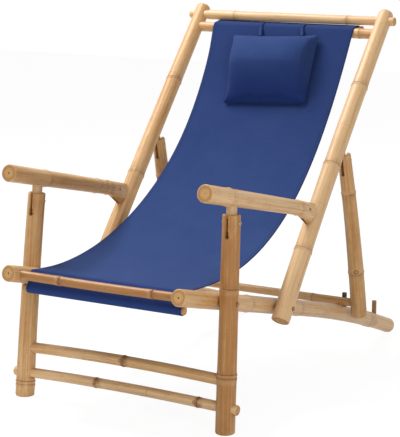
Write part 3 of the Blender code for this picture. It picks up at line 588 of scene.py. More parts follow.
# The lines of the frame
@dataclass(frozen=True)
class ChairLines:
    """Axes, pivots and radii of the frame, which every sub-assembly shares."""

    fit: float = 0.0003
    swing_gap: float = 0.0009
    swell: float = 0.05
    end_round: float = 0.003
    rail_x: float = 0.228
    rail_depth: float = 1.104
    rail_front: float = 0.328
    rail_slope: float = 0.2570
    rail_straight: float = 0.608
    rail_radii: tuple[float, float] = (0.0195, 0.0198)
    rail_flat: float = 0.0015
    leg_y: float = 0.146
    leg_height: float = 0.487
    leg_lean: float = 0.0965
    leg_splay: float = 0.0246
    leg_radii: tuple[float, float] = (0.0225, 0.0205)
    leg_gap: float = 0.0009
    back_y: float = 0.407
    back_angle: float = math.radians(50.4)
    pole_below: float = 0.036
    pole_above: float = 0.858
    pole_radii: tuple[float, float] = (0.0222, 0.0193)
    pole_gap: float = 0.0022
    left_bow: float = 0.003
    right_bow: float = 0.010
    top_rail_from_end: float = 0.028
    top_rail_pitch: float = 0.0405
    top_rail_radii: tuple[float, float] = (0.0115, 0.0130)
    arm_on_pole: float = 0.2655
    arm_radii: tuple[float, float] = (0.0205, 0.0172)
    arm_pivot_ahead: float = 0.074
    post_shows: float = 0.0155
    post_pin_below: float = 0.0185
    prop_on_pole: float = 0.438
    prop_standoff: float = 0.0043
    prop_bar_y: float = 0.806
    prop_bar_radius: float = 0.0107
    strut_radii: tuple[float, float] = (0.0158, 0.0192)
    strut_spread: float = 0.003
    small_pin: float = 0.003
    pivot_pin: float = 0.005
    pin_tip: float = 0.003
    tongue_half: tuple[float, float] = (0.0026, 0.0080)

    def rear_height(self, slope: float) -> float:
        """Height of a rail's rear end when its underside is cut flat on the floor."""
        return self.rail_radii[1] / math.hypot(1, slope) - self.rail_flat - self.end_round * slope

    def rear_slope(self) -> float:
        """Slope of a rail's axis at its rear end."""
        fall = self.rail_front - self.rail_slope * self.rail_depth - self.rear_height(self.rail_slope)
        return self.rail_slope + 2 * fall / (self.rail_depth - self.rail_straight)

    def rail_height(self, y: float) -> float:
        """Height of a rail's axis at a depth.

        Args:
            y: The depth.

        Returns:
            The height.
        """
        bend = self.rail_depth - self.rail_straight
        fall = self.rail_front - self.rail_slope * self.rail_depth - self.rear_height(self.rear_slope())
        past = max(0.0, y - self.rail_straight)
        return self.rail_front - self.rail_slope * y - fall / bend ** 2 * past ** 2

    def rail_radius(self, y: float) -> float:
        """Radius of a rail at a depth."""
        return between(self.rail_radii, y, self.rail_depth)

    def middle(self) -> float:
        """Depth of the middle of the chair's box.

        Returns:
            The depth.
        """
        front = -self.rail_radii[0] * self.rail_slope / math.hypot(1, self.rail_slope)
        slope = self.rear_slope()
        rear = self.rail_depth + (self.rail_radii[1] - self.end_round) * slope / math.hypot(1, slope)
        return (front + rear) / 2

    def at(self, x: float, y: float, z: float) -> Vector:
        """A point of the frame from a depth and a height."""
        return Vector((x, y - self.middle(), z))

    def rail_point(self, side: float, y: float, lift: float = 0.0) -> Vector:
        """A point of a rail's axis, or a little above it."""
        return self.at(side * self.rail_x, y, self.rail_height(y) + lift)

    @property
    def leg_pivot(self) -> Vector:
        """The legs' pivot, in the middle plane."""
        return self.rail_point(0, self.leg_y)

    def leg_radius(self, height: float) -> float:
        """Radius of a leg at a height."""
        return between(self.leg_radii, height, self.leg_height)

    def leg_x(self) -> float:
        """Distance of a leg's axis from the middle, at its pivot."""
        return self.rail_x + self.rail_radius(self.leg_y) + self.leg_gap + self.leg_radius(self.leg_pivot.z)

    def leg_point(self, side: float, height: float) -> Vector:
        """A point of a leg's axis.

        Args:
            side: Which leg, 1 or -1.
            height: Its height.

        Returns:
            The point.
        """
        rise = height - self.leg_pivot.z
        aside = X_AXIS * side * (self.leg_x() - self.leg_splay * rise)
        return self.leg_pivot + Vector((0, self.leg_lean, 1)) * rise + aside

    @property
    def back_pivot(self) -> Vector:
        """The backrest's pivot, in the middle plane."""
        return self.rail_point(0, self.back_y)

    @property
    def up(self) -> Vector:
        """Direction up along the back poles."""
        return Vector((0, math.cos(self.back_angle), math.sin(self.back_angle)))

    @property
    def rear(self) -> Vector:
        """Direction square to the back poles, rearwards."""
        return Vector((0, math.sin(self.back_angle), -math.cos(self.back_angle)))

    def pole_x(self) -> float:
        """Distance of a back pole's axis from the middle."""
        return self.rail_x + self.rail_radius(self.back_y) + self.pole_gap + self.pole_radii[0]

    def pole_point(self, side: float, along: float) -> Vector:
        """A point of a back pole's straight line, by distance from the pivot."""
        return self.back_pivot + self.up * along + X_AXIS * side * self.pole_x()

    def pole_share(self, along: float) -> float:
        """How far up a back pole a point is, from 0 to 1."""
        return (along + self.pole_below) / (self.pole_above + self.pole_below)

    def pole_radius(self, along: float) -> float:
        """Radius of a back pole."""
        return between(self.pole_radii, self.pole_share(along))

    def pole_bow(self, side: float, along: float) -> float:
        """How far a back pole bows forward."""
        share = self.pole_share(along)
        return 4 * (self.right_bow if side > 0 else self.left_bow) * share * (1 - share)

    def pole_axis(self, side: float, along: float) -> Vector:
        """A point of a back pole's bowed axis."""
        return self.pole_point(side, along) - self.rear * self.pole_bow(side, along)

    @property
    def upper_rail(self) -> float:
        """Place of the upper top rail along the poles."""
        return self.pole_above - self.top_rail_from_end

    @property
    def lower_rail(self) -> float:
        """Place of the lower top rail along the poles."""
        return self.upper_rail - self.top_rail_pitch

    def arm_over_leg(self, side: float) -> Vector:
        """The point of an armrest's axis above its leg."""
        return self.leg_point(side, self.leg_height + self.post_shows + self.arm_radii[0])

    def arm_forward(self, side: float) -> Vector:
        """Direction of an armrest's axis, forwards."""
        return (self.arm_over_leg(side) - self.pole_point(side, self.arm_on_pole)).normalized()

    def arm_pivot(self, side: float) -> Vector:
        """Pivot of an armrest."""
        return self.pole_point(side, self.arm_on_pole) + self.arm_forward(side) * self.arm_pivot_ahead

    def post_pin(self, side: float) -> Vector:
        """Where the post's pin crosses the leg."""
        return self.leg_point(side, self.leg_height - self.post_pin_below)

    def prop_pivot(self, side: float) -> Vector:
        """Pivot of a strut."""
        offset = self.pole_radius(self.prop_on_pole) + self.prop_standoff + self.strut_radii[0]
        return self.pole_point(side, self.prop_on_pole) + self.rear * offset

    def prop_bar(self, side: float) -> Vector:
        """The crossbar's axis at a strut.

        Args:
            side: Which strut, 1 or -1.

        Returns:
            The point.
        """
        y = self.prop_bar_y
        lift = self.prop_bar_radius + self.fit + self.rail_radius(y) * math.hypot(1, self.rear_slope())
        return self.at(side * (self.pole_x() + self.strut_spread), y, self.rail_height(y) + lift)

    def tenon_root(self, side: float, along: float, direction: Vector) -> Vector:
        """Where a tenon's line meets its pole's bowed axis."""
        back = self.pole_bow(side, along) / direction.dot(self.rear)
        return self.pole_point(side, along) - direction * back

    def tenon_shoulder(self, root: Vector, direction: Vector, along: float, radius: float) -> Vector:
        """Where a tenon turns flat, just inside its pole.

        Args:
            root: Where its line meets the pole's axis.
            direction: The way it points.
            along: Its place on the pole.
            radius: Its radius.

        Returns:
            The point.
        """
        facing = abs(direction.dot(self.rear))
        lean = math.sqrt(max(0.0, 1 - facing ** 2))
        return root + direction * ((self.pole_radius(along) - radius * lean) / facing - self.swing_gap)


# Turned pieces
def frame_along(tangent: Vector) -> Matrix:
    """A turn whose Z runs along the tangent and whose X stays level where it can.

    Args:
        tangent: The direction of Z.

    Returns:
        The turn.
    """
    forward = tangent.normalized()
    reference = Y_AXIS if abs(forward.x) > SIDEWAYS else X_AXIS
    across = (reference - forward * reference.dot(forward)).normalized()
    return Matrix((across, forward.cross(across), forward)).transposed()


def turned(point: Vector, pivot: Vector, angle: float) -> Vector:
    """A point turned about an X axis through the pivot."""
    return pivot + Matrix.Rotation(angle, 3, "X") @ (point - pivot)


@dataclass(frozen=True)
class Bore:
    """A drilled hole from start to end."""

    start: Vector
    end: Vector
    radius: float
    sides: int = 28

    def shape(self) -> bmesh.types.BMesh:
        """Make the hole's shape.

        Returns:
            The hole as a solid.
        """
        solid = bmesh.new()
        run = self.end - self.start
        place = Matrix.Translation((self.start + self.end) / 2) @ frame_along(run).to_4x4()
        bmesh.ops.create_cone(solid, cap_ends=True, segments=self.sides, radius1=self.radius,
                              radius2=self.radius, depth=run.length, matrix=place)
        return solid


@dataclass(frozen=True)
class Saw:
    """A sawn slit, or a flat cut, in the side-view plane."""

    centre: Vector
    tangent: Vector
    width: float
    half_depth: float
    length: float

    def shape(self) -> bmesh.types.BMesh:
        """Make the cut's shape.

        Returns:
            The cut as a solid.
        """
        solid = bmesh.new()
        place = Matrix.Translation(self.centre) @ frame_along(self.tangent).to_4x4()
        size = Matrix.Diagonal((self.width, 2 * self.half_depth, self.length, 1))
        bmesh.ops.create_cube(solid, size=1, matrix=place @ size)
        return solid


Cut = Union[Bore, Saw]


def cross_bore(point: Vector, half: float, radius: float, axis: Vector = X_AXIS) -> Bore:
    """A hole along an axis, to both sides of a point."""
    return Bore(point - axis * half, point + axis * half, radius)


def blind_bore(point: Vector, side: float, length: float, depth: float, radius: float) -> Bore:
    """A hole along X, from the chair's middle to a depth past a point."""
    return Bore(point - X_AXIS * side * length, point + X_AXIS * side * depth, radius)


@dataclass(frozen=True)
class NodeForm:
    """The swelling at a culm's node: a ridge with a flare on both sides and a groove at its scar."""

    ridge: float = 0.0042
    flares: tuple[tuple[float, float], tuple[float, float]] = ((0.45, 0.014), (0.25, 0.010))
    groove: tuple[float, float, float] = (0.6, 0.0022, 0.0009)
    clear: float = 0.015
    rings: tuple[float, ...] = (-0.014, -0.009, -0.0055, -0.0036, -0.0022, -0.001, 0.0, 0.0009, 0.0016,
                                0.0022, 0.0028, 0.0036, 0.005, 0.0075, 0.012)

    def rise(self, gap: float) -> float:
        """How high the swelling is, as a share of its full height.

        Args:
            gap: Distance past the node.

        Returns:
            The share.
        """
        ridge = math.exp(-(gap / self.ridge) ** 2)
        height, run = self.flares[gap >= 0]
        depth, place, half = self.groove
        groove = depth * math.exp(-((gap - place) / half) ** 2)
        return max(ridge, height * math.exp(-abs(gap) / run)) - groove * min(1.0, ridge * 2)


NODE = NodeForm()
# Rings of an eased end, as shares of its radius and of its dish, and the angles of its rounding
END_DISH = ((0.0, 1.0), (0.12, 1.0), (0.5, 0.7), (0.88, 0.15))
END_TURNS = (0, 25, 50, 75, 90)
DISH_MOST, DISH_SHARE = 0.0007, 0.25
RING_GAP = 0.0004
# The unevenness of a skin, and which faces count as sawn
OVAL_RATE, OVAL_RUN = 40, 9
BUD_SWELL, BUD_FALL, NO_BUD = 0.075, 1.2, 9.0
LIP_FROM = 1.12
END_FACE, RIM_FACE, ON_FLOOR = 0.4, 0.55, 1e-5
SHARP = math.radians(38)


@dataclass
class Stick:
    """A turned piece along a path: a culm with nodes, a dowel, a rod or a pin.

    The path's points run from its start to its end. Nodes are distances along it.
    """

    name: str
    body: str
    node: str
    path: Sequence[Vector]
    radii: tuple[float, float]
    nodes: Sequence[float] = ()
    cuts: Sequence[Cut] = ()
    tone: float = 0.4
    grain: Grain = Grain.CANE
    ease: float = 0.003
    sides: int = 44
    swell: float = 0.07
    oval: float = 0.012
    spacing: float = 0.016
    foot: bool = False
    ends: tuple[bool, bool] = (True, True)
    dome: float = 0.0
    gloss: float = 0.15
    fade: float = 0.0
    lip_tone: float = 1.1
    pith: float = 1.0
    knot: float = 0.32
    head: tuple[float, float] = (0.0, 0.0)
    heads: tuple[bool, bool] = (True, True)
    shoulder_run: float = 0.0002
    buds: Sequence[tuple[float, float, float]] = ()
    reach: list[float] = field(init=False, default_factory=list)
    seed: float = field(init=False, default=0.0)

    def __post_init__(self) -> None:
        """Measure the path."""
        self.reach = [0.0]
        for first, second in zip(self.path, self.path[1:]):
            self.reach.append(self.reach[-1] + (second - first).length)
        self.seed = sum(ord(letter) * (place + 1) for place, letter in enumerate(self.name)) % 97 * 0.37

    @property
    def length(self) -> float:
        """Length of the path."""
        return self.reach[-1]

    def axis(self, along: float) -> tuple[Vector, Vector]:
        """The path's point and direction at a distance; it goes on straight past its ends.

        Args:
            along: Distance from the start.

        Returns:
            The point and the direction there.
        """
        last = len(self.path) - 2
        index = 0
        if last:
            index = max(0, min(last, int(along / self.length * (last + 1))))
            while index < last and self.reach[index + 1] < along:
                index += 1
            while index and self.reach[index] > along:
                index -= 1
        start, end = self.path[index], self.path[index + 1]
        span = self.reach[index + 1] - self.reach[index]
        share = (along - self.reach[index]) / span
        tangent = end - start
        if last and 0 < share < 1:
            before = start - self.path[index - 1] if index else tangent
            after = self.path[index + 2] - end if index < last else tangent
            tangent = (before + tangent).lerp(tangent + after, share)
        return start.lerp(end, share), tangent.normalized()

    def radius(self, along: float) -> float:
        """Radius with the node swellings at a distance.

        Args:
            along: Distance from the start.

        Returns:
            The radius.
        """
        plain = between(self.radii, along, self.length)
        full = plain * (1 + max([0.0] + [self.swell * NODE.rise(along - place) for place in self.nodes]))
        if not self.head[0]:
            return full
        ends = [gap for gap, headed in zip((along, self.length - along), self.heads) if headed]
        share = clamp((min(ends) - self.head[0]) / self.shoulder_run)
        return self.head[1] + (full - self.head[1]) * share * share * (3 - 2 * share)

    def stations(self) -> list[float]:
        """Distances at which the piece has a ring.

        Returns:
            The distances.
        """
        places = set()
        count = max(2, round(self.length / self.spacing))
        places.update(self.length * step / count for step in range(1, count))
        for place in self.nodes:
            places = {other for other in places if abs(other - place) > NODE.clear}
            places.update(place + gap for gap in NODE.rings)
        if self.head[0]:
            for share in (0.0, 0.25, 0.5, 0.75, 1.0):
                place = self.head[0] + share * self.shoulder_run
                places.update((place, self.length - place))
        start = self.ease if self.ends[0] else 0.0
        end = self.length - ((self.dome or self.ease) if self.ends[1] else 0.0)
        return sorted(place for place in places if start + RING_GAP < place < end - RING_GAP)

    def profile(self) -> list[tuple[float, float]]:
        """The outline that is spun, from one end's middle to the other's.

        Returns:
            Its (radius, distance) points.
        """
        ends = []
        for place, way, ease in ((0.0, 1, self.ease), (self.length, -1, self.dome or self.ease)):
            outer = self.radius(place + way * ease)
            dish = 0.0 if ease > self.ease else min(DISH_MOST, ease * DISH_SHARE)
            flat = outer - ease
            points = [(flat * out, dish * deep) for out, deep in END_DISH]
            for turn in END_TURNS:
                angle = math.radians(turn)
                points.append((flat + ease * math.sin(angle), ease * (1 - math.cos(angle))))
            ends.append([(radius, place + way * depth) for radius, depth in points])
        walls = [(self.radius(place), place) for place in self.stations()]
        return ends[0] + walls + ends[1][::-1]

    def bud(self, spot: Vector) -> float:
        """How far a point of the straight piece is from the nearest bud scar, in sizes of the scar.

        Args:
            spot: The point.

        Returns:
            The distance.
        """
        best = NO_BUD
        for along, angle, size in self.buds:
            turn = math.remainder(math.atan2(spot.y, spot.x) - math.radians(angle), 2 * math.pi)
            best = min(best, math.hypot(spot.z - along, turn * self.radii[0]) / size)
        return best

    def place(self, spot: Vector) -> Vector:
        """Where a point of the straight spun piece lies in the frame."""
        point, tangent = self.axis(spot.z)
        return point + frame_along(tangent) @ Vector((spot.x, spot.y, 0))

    def locate(self, point: Vector) -> Vector:
        """Find where a point of the frame lies on the straight piece.

        Args:
            point: The point of the frame.

        Returns:
            The straight piece's point.
        """
        chord = self.path[-1] - self.path[0]
        along = (point - self.path[0]).dot(chord) / chord.length_squared * self.length
        for _ in range(2):
            middle, tangent = self.axis(along)
            along += (point - middle).dot(tangent)
        middle, tangent = self.axis(along)
        spot = frame_along(tangent).transposed() @ (point - middle)
        return Vector((spot.x, spot.y, along))

    def spin(self) -> bmesh.types.BMesh:
        """Spin the outline.

        Returns:
            The closed shape in the frame.
        """
        shape = bmesh.new()
        outline = [shape.verts.new((radius, 0, along)) for radius, along in self.profile()]
        edges = [shape.edges.new(pair) for pair in zip(outline, outline[1:])]
        bmesh.ops.spin(shape, geom=outline + edges, cent=(0, 0, 0), axis=(0, 0, 1), dvec=(0, 0, 0),
                       angle=2 * math.pi, steps=self.sides, use_merge=True, use_duplicate=False)
        bmesh.ops.remove_doubles(shape, verts=shape.verts, dist=1e-6)
        for vert in shape.verts:
            spot = vert.co
            where = (spot.x * OVAL_RATE, spot.y * OVAL_RATE, spot.z * OVAL_RUN + self.seed)
            wobble = 1 + self.oval * noise.noise(Vector(where))
            wobble += BUD_SWELL * math.exp(-(self.bud(spot) * BUD_FALL) ** 2)
            vert.co = self.place(Vector((spot.x * wobble, spot.y * wobble, spot.z)))
        if self.foot:
            everything = list(shape.verts) + list(shape.edges) + list(shape.faces)
            bmesh.ops.bisect_plane(shape, geom=everything, plane_co=(0, 0, 0), plane_no=(0, 0, 1),
                                   clear_inner=True)
            bmesh.ops.holes_fill(shape, edges=[edge for edge in shape.edges if edge.is_boundary])
        bmesh.ops.triangulate(shape, faces=[face for face in shape.faces if len(face.verts) == 4])
        bmesh.ops.recalc_face_normals(shape, faces=shape.faces)
        return shape

    def build(self, workshop: "Workshop") -> None:
        """Make the piece, cut it, mark its surface and set it on its body.

        Args:
            workshop: The materials of the chair.
        """
        piece = add(self.name, self.spin(), workshop.finishes[self.grain], workshop.cut)
        if self.cuts:
            workshop.carve(piece, self.cuts)
        self.mark(piece.data, piece.data.materials.find(workshop.cut.name))
        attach(piece, self.body)
        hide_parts(self.node)
        LOG.info("%s rides on %s", self.name, self.body)

    def mark(self, mesh: bpy.types.Mesh, cut: int) -> None:
        """Write the surface's own coordinates, and give the sawn ends their material.

        Args:
            mesh: The finished mesh.
            cut: The material number of sawn faces.
        """
        spots = [self.locate(vert.co) for vert in mesh.vertices]
        culm = mesh.attributes.new("culm", "FLOAT_VECTOR", "POINT")
        culm.data.foreach_set("vector", [part for spot in spots
                                         for part in (spot.x, spot.y, spot.z + self.seed)])
        values = {label: [getattr(self, label)] * len(spots) for label in ("pith", "knot")}
        values.update({label: [] for label in ("tone", "gloss", "ring", "rim", "bud")})
        for spot in spots:
            values["bud"].append(self.bud(spot))
            rim = math.hypot(spot.x, spot.y) / self.radius(min(max(spot.z, 0.0), self.length))
            drawn = self.lip_tone * max(0.0, rim - LIP_FROM)
            values["tone"].append(self.tone + self.fade * spot.z / self.length + drawn)
            values["gloss"].append(self.gloss * (1 - self.fade * spot.z / self.length))
            gaps = [spot.z - place for place in self.nodes] or [1.0]
            values["ring"].append(min(gaps, key=abs))
            values["rim"].append(rim)
        for label, numbers in values.items():
            mesh.attributes.new(label, "FLOAT", "POINT").data.foreach_set("value", numbers)
        for face in mesh.polygons:
            middle = [sum(spots[index][part] for index in face.vertices) / len(face.vertices)
                      for part in range(3)]
            near_end = min(middle[2], self.length - middle[2]) < END_FACE * self.ease
            rim = max(values["rim"][index] for index in face.vertices)
            inside = rim < 1 - RIM_FACE * self.ease / self.radii[0]
            low = abs(sum(mesh.vertices[index].co.z for index in face.vertices)) < ON_FLOOR
            if near_end and inside or self.foot and low:
                face.material_index = cut
        mesh.shade_smooth()
        mesh.set_sharp_from_angle(angle=SHARP)


@dataclass
class Dowel(Stick):
    """A round dowel that turns into a flat tongue with a round tip; its pin crosses the tip's middle."""

    shoulder: float = 0.0
    tip: float = 0.0
    tongue: tuple[float, float] = (0.0026, 0.0080)
    run: float = 0.0012

    def place(self, spot: Vector) -> Vector:
        """Where a point of the straight dowel lies, flattened past its shoulder.

        Args:
            spot: The point.

        Returns:
            Its place in the frame.
        """
        flat = Vector(spot)
        if spot.z > self.shoulder:
            share = min(1.0, (spot.z - self.shoulder) / self.run)
            past = min(0.999, max(0.0, (spot.z - self.tip) / self.tongue[1]))
            round_off = math.sqrt(1 - past ** 2)
            flat.x *= 1 + (self.tongue[0] / self.radii[0] - 1) * share
            flat.y *= 1 + (self.tongue[1] * round_off / self.radii[0] - 1) * share
        return super().place(flat)

    def stations(self) -> list[float]:
        """Rings of the dowel, close together at its shoulder and its tip.

        Returns:
            Their distances.
        """
        extra = [self.shoulder, self.shoulder + self.run / 2, self.shoulder + self.run]
        extra += [self.tip + self.tongue[1] * share for share in (0.0, 0.3, 0.55, 0.75, 0.9)]
        return sorted(set(super().stations() + extra))


@dataclass
class ArmCulm(Stick):
    """An armrest's culm, drawn out at its rear end into a lip along the back pole."""

    plain: float = 0.0
    lip_centre: Vector = field(default_factory=Vector)
    lip_tangent: Vector = field(default_factory=Vector)
    lip_half: tuple[float, float] = (0.0172, 0.04)

    def place(self, spot: Vector) -> Vector:
        """Where a point of the straight culm lies, with the rear end drawn out to the lip.

        Args:
            spot: The point.

        Returns:
            Its place in the frame.
        """
        share = clamp((spot.z - self.plain) / (self.length - self.plain))
        point = super().place(spot)
        if not share:
            return point
        base = self.radius(spot.z)
        wide, high = spot.x / base * self.lip_half[0], spot.y / base * self.lip_half[1]
        on_lip = self.lip_centre + frame_along(self.lip_tangent) @ Vector((wide, high, 0))
        return super().place(Vector((spot.x, spot.y, self.plain))).lerp(on_lip, share)


# The workshop
class Workshop:
    """The finishes, and the saw and drill."""

    def __init__(self, lines: ChairLines) -> None:
        """Make every finish once.

        Args:
            lines: The lines of the frame.
        """
        self.finishes = {
            Grain.CANE: CaneFinish().make(),
            Grain.BARE: TurnedFinish("bare_cane", (0.64, 0.44, 0.235), (0.46, 0.275, 0.12), 0.5).make(),
            Grain.PEG: TurnedFinish("dark_peg", (0.30, 0.155, 0.062), (0.12, 0.055, 0.024), 0.5).make(),
            Grain.ROD: TurnedFinish("hem_cane", (0.46, 0.28, 0.125), (0.24, 0.125, 0.05), 0.55).make(),
            Grain.STEEL: SteelFinish().make(),
        }
        self.cut = CutFinish().make()
        # Painted shade: the sling darkens up its back, and its front sleeve is painted deeper navy
        self.canvas = CanvasFinish("sling_canvas", shaded=(0.45, 1.1)).make()
        # Painted shade darkens the pillow's lower half
        self.pillow_canvas = CanvasFinish("pillow_canvas", sewn=False, turn=-lines.back_angle,
                                          navy=(0.024, 0.051, 0.168), worn=(0.035, 0.067, 0.200),
                                          fresh=(0.007, 0.022, 0.130), unbleached=(0.757, 0.667),
                                          fresh_share=0.7).make()

    def carve(self, piece: bpy.types.Object, cuts: Sequence[Cut]) -> None:
        """Cut a piece and keep the result as its mesh.

        Args:
            piece: The piece.
            cuts: The holes and slits to take out of it.
        """
        tools = []
        for count, cut in enumerate(cuts):
            tool = add(f"{piece.name}_tool_{count}", cut.shape(), self.cut)
            job = piece.modifiers.new(tool.name, "BOOLEAN")
            job.operation = "DIFFERENCE"
            job.solver = "EXACT"
            job.material_mode = "TRANSFER"
            job.object = tool
            tools.append(tool)
        keep(piece)
        for tool in tools:
            bpy.data.objects.remove(tool, do_unlink=True)


def straight(start: Vector, end: Vector, bow: Vector = ORIGIN, steps: int = 24) -> list[Vector]:
    """Points from start to end, bowed by a vector at the middle.

    Args:
        start: The first point.
        end: The last point.
        bow: How far the middle is moved.
        steps: How many parts a bowed line has.

    Returns:
        The points.
    """
    if not bow.length:
        return [start, end]
    shares = [step / steps for step in range(steps + 1)]
    return [start.lerp(end, share) + bow * 4 * share * (1 - share) for share in shares]


def bar_path(point: Vector, half: float, bow: Vector = ORIGIN) -> list[Vector]:
    """The path of a bar along X through a point of the middle plane."""
    return straight(point - X_AXIS * half, point + X_AXIS * half, bow)


# Sub-assemblies
@dataclass
class Base:
    """Side rails that slope to the floor, the bars between them, the stop pegs and the pivot pins."""

    lines: ChairLines
    workshop: Workshop
    rail_nodes: tuple[float, ...] = (0.298, 0.549, 0.957, 0.978)
    rail_tones: tuple[float, float] = (0.50, 0.42)
    rail_fades: tuple[float, float] = (-0.1, -0.45)
    front_rail_y: float = 0.030
    front_rail_radius: float = 0.011
    front_rail_nodes: tuple[float, float] = (0.119, 0.368)
    bar_y: float = 0.070
    bar_lift: float = 0.003
    bar_radius: float = 0.010
    tenon: float = 0.014
    hem_y: float = 0.040
    hem_radius: float = 0.0095
    hem_lap: float = 0.012
    hem_short: float = 0.008
    peg_radius: float = 0.0065
    peg_stands: float = 0.037
    peg_in_rail: float = 0.020
    peg_pitch: float = 0.187
    peg_gap: float = 0.0008
    peg_tones: tuple[float, float] = (0.75, 0.0)
    peg_taper: float = 0.96
    pin_hollow: float = 0.005
    pin_bore: float = 0.45
    rail_steps: int = 64
    front_rail_taper: float = 0.92
    front_rail_sag: float = 0.002

    def hem_point(self) -> Vector:
        """Axis of the front hem rod, under the rails.

        Returns:
            Its middle.
        """
        lines = self.lines
        inset = lines.rail_radii[0] - self.hem_lap
        chord = math.sqrt(lines.rail_radius(self.hem_y) ** 2 - inset ** 2)
        below = (chord + self.hem_radius) * math.hypot(1, lines.rail_slope) + lines.fit
        return lines.at(0, self.hem_y, lines.rail_height(self.hem_y) - below)

    def bar_point(self) -> Vector:
        """Axis of the bar that the sling passes over."""
        return self.lines.rail_point(0, self.bar_y, self.bar_lift)

    def peg_depths(self) -> tuple[float, float]:
        """Depths of a rail's two stop pegs."""
        front = self.lines.prop_bar_y + self.lines.prop_bar_radius + self.peg_gap + self.peg_radius
        return front, front + self.peg_pitch

    def rail_cuts(self, side: float) -> list[Cut]:
        """Holes of a side rail.

        Args:
            side: Which rail, 1 or -1.

        Returns:
            The holes for its pins, bars and pegs.
        """
        lines = self.lines
        through = 2 * lines.rail_radii[0]
        cuts: list[Cut] = [cross_bore(lines.rail_point(side, y), through, lines.pivot_pin + lines.fit)
                           for y in (lines.leg_y, lines.back_y)]
        for y, lift, radius in ((self.front_rail_y, 0.0, self.front_rail_radius),
                                (self.bar_y, self.bar_lift, self.bar_radius)):
            inner = lines.at(side * (lines.rail_x - lines.rail_radii[0]), y, lines.rail_height(y) + lift)
            cuts.append(blind_bore(inner, side, through, self.tenon + lines.fit, radius + lines.fit))
        for y in self.peg_depths():
            low = lines.rail_point(side, y, lines.rail_radius(y) - self.peg_in_rail - lines.fit)
            cuts.append(Bore(low, lines.rail_point(side, y, self.peg_stands), self.peg_radius + lines.fit))
        return cuts

    def build(self) -> None:
        """Make the base."""
        lines = self.lines
        inner = lines.rail_x - lines.rail_radii[0]
        Stick("front_rail_culm", "base", "front_rail",
              bar_path(lines.rail_point(0, self.front_rail_y), inner + self.tenon,
                       Vector((0, 0, -self.front_rail_sag))),
              (self.front_rail_radius, self.front_rail_radius * self.front_rail_taper), self.front_rail_nodes,
              tone=1.1, fade=0.7, gloss=0.4, knot=0.9, sides=32, swell=0.13,
              buds=[(0.366, 120, 0.005)]).build(self.workshop)
        Stick("sling_bar_culm", "base", "front_sling_bar", bar_path(self.bar_point(), inner + self.tenon),
              (self.bar_radius, self.bar_radius), tone=0.5, sides=32).build(self.workshop)
        rod = bar_path(self.hem_point(), inner + self.hem_lap)
        rod[0].x += self.hem_short
        Stick("front_hem_stick", "base", "front_hem_rod", rod,
              (self.hem_radius, self.hem_radius), grain=Grain.ROD, sides=28, ease=0.0015).build(self.workshop)
        for side, tone, fade in zip(Side, self.rail_tones, self.rail_fades):
            self.build_side(side, tone, fade)

    def build_side(self, side: Side, tone: float, fade: float) -> None:
        """Make one side rail with its pegs and pins.

        Args:
            side: Which side.
            tone: How brown the rail is at its front end.
            fade: How much browner it is at its rear end.
        """
        lines, way = self.lines, side.value
        steps = self.rail_steps
        path = [lines.rail_point(way, lines.rail_depth * step / steps) for step in range(steps + 1)]
        rail = Stick(f"rail_culm_{side.label}", "base", f"side_rail_{side.label}", path, lines.rail_radii,
                     cuts=self.rail_cuts(way), tone=tone, fade=fade, foot=True)
        rail.nodes = [rail.locate(lines.rail_point(way, y)).z for y in self.rail_nodes]
        rail.build(self.workshop)
        for place, y, dark in zip(("front", "rear"), self.peg_depths(), self.peg_tones):
            low = lines.rail_point(way, y, lines.rail_radius(y) - self.peg_in_rail)
            high = lines.rail_point(way, y, lines.rail_radius(y) + self.peg_stands)
            Stick(f"peg_{place}_{side.label}", "base", f"stop_peg_{place}_{side.label}", [low, high],
                  (self.peg_radius, self.peg_radius * self.peg_taper), tone=dark, grain=Grain.PEG,
                  ease=0.0016, sides=24, oval=0.06, spacing=0.006).build(self.workshop)
        inside = way * (lines.rail_x - lines.rail_radii[0] - lines.pin_tip)
        outside = {"leg": way * (lines.leg_x() + lines.leg_radius(lines.leg_pivot.z) + lines.pin_tip),
                   "back": way * (lines.pole_x() + lines.pole_radius(0) + lines.pin_tip)}
        for which, pivot in (("leg", lines.leg_pivot), ("back", lines.back_pivot)):
            path = [pivot + X_AXIS * inside, pivot + X_AXIS * outside[which]]
            hollow = blind_bore(path[1], way, self.pin_hollow, self.pin_hollow,
                                lines.pivot_pin * self.pin_bore)
            Stick(f"{which}_pin_{side.label}", "base", f"{which}_pivot_pin_{side.label}", path,
                  (lines.pivot_pin, lines.pivot_pin), cuts=[hollow], grain=Grain.PEG, ease=0.0013, sides=24,
                  oval=0.03).build(self.workshop)


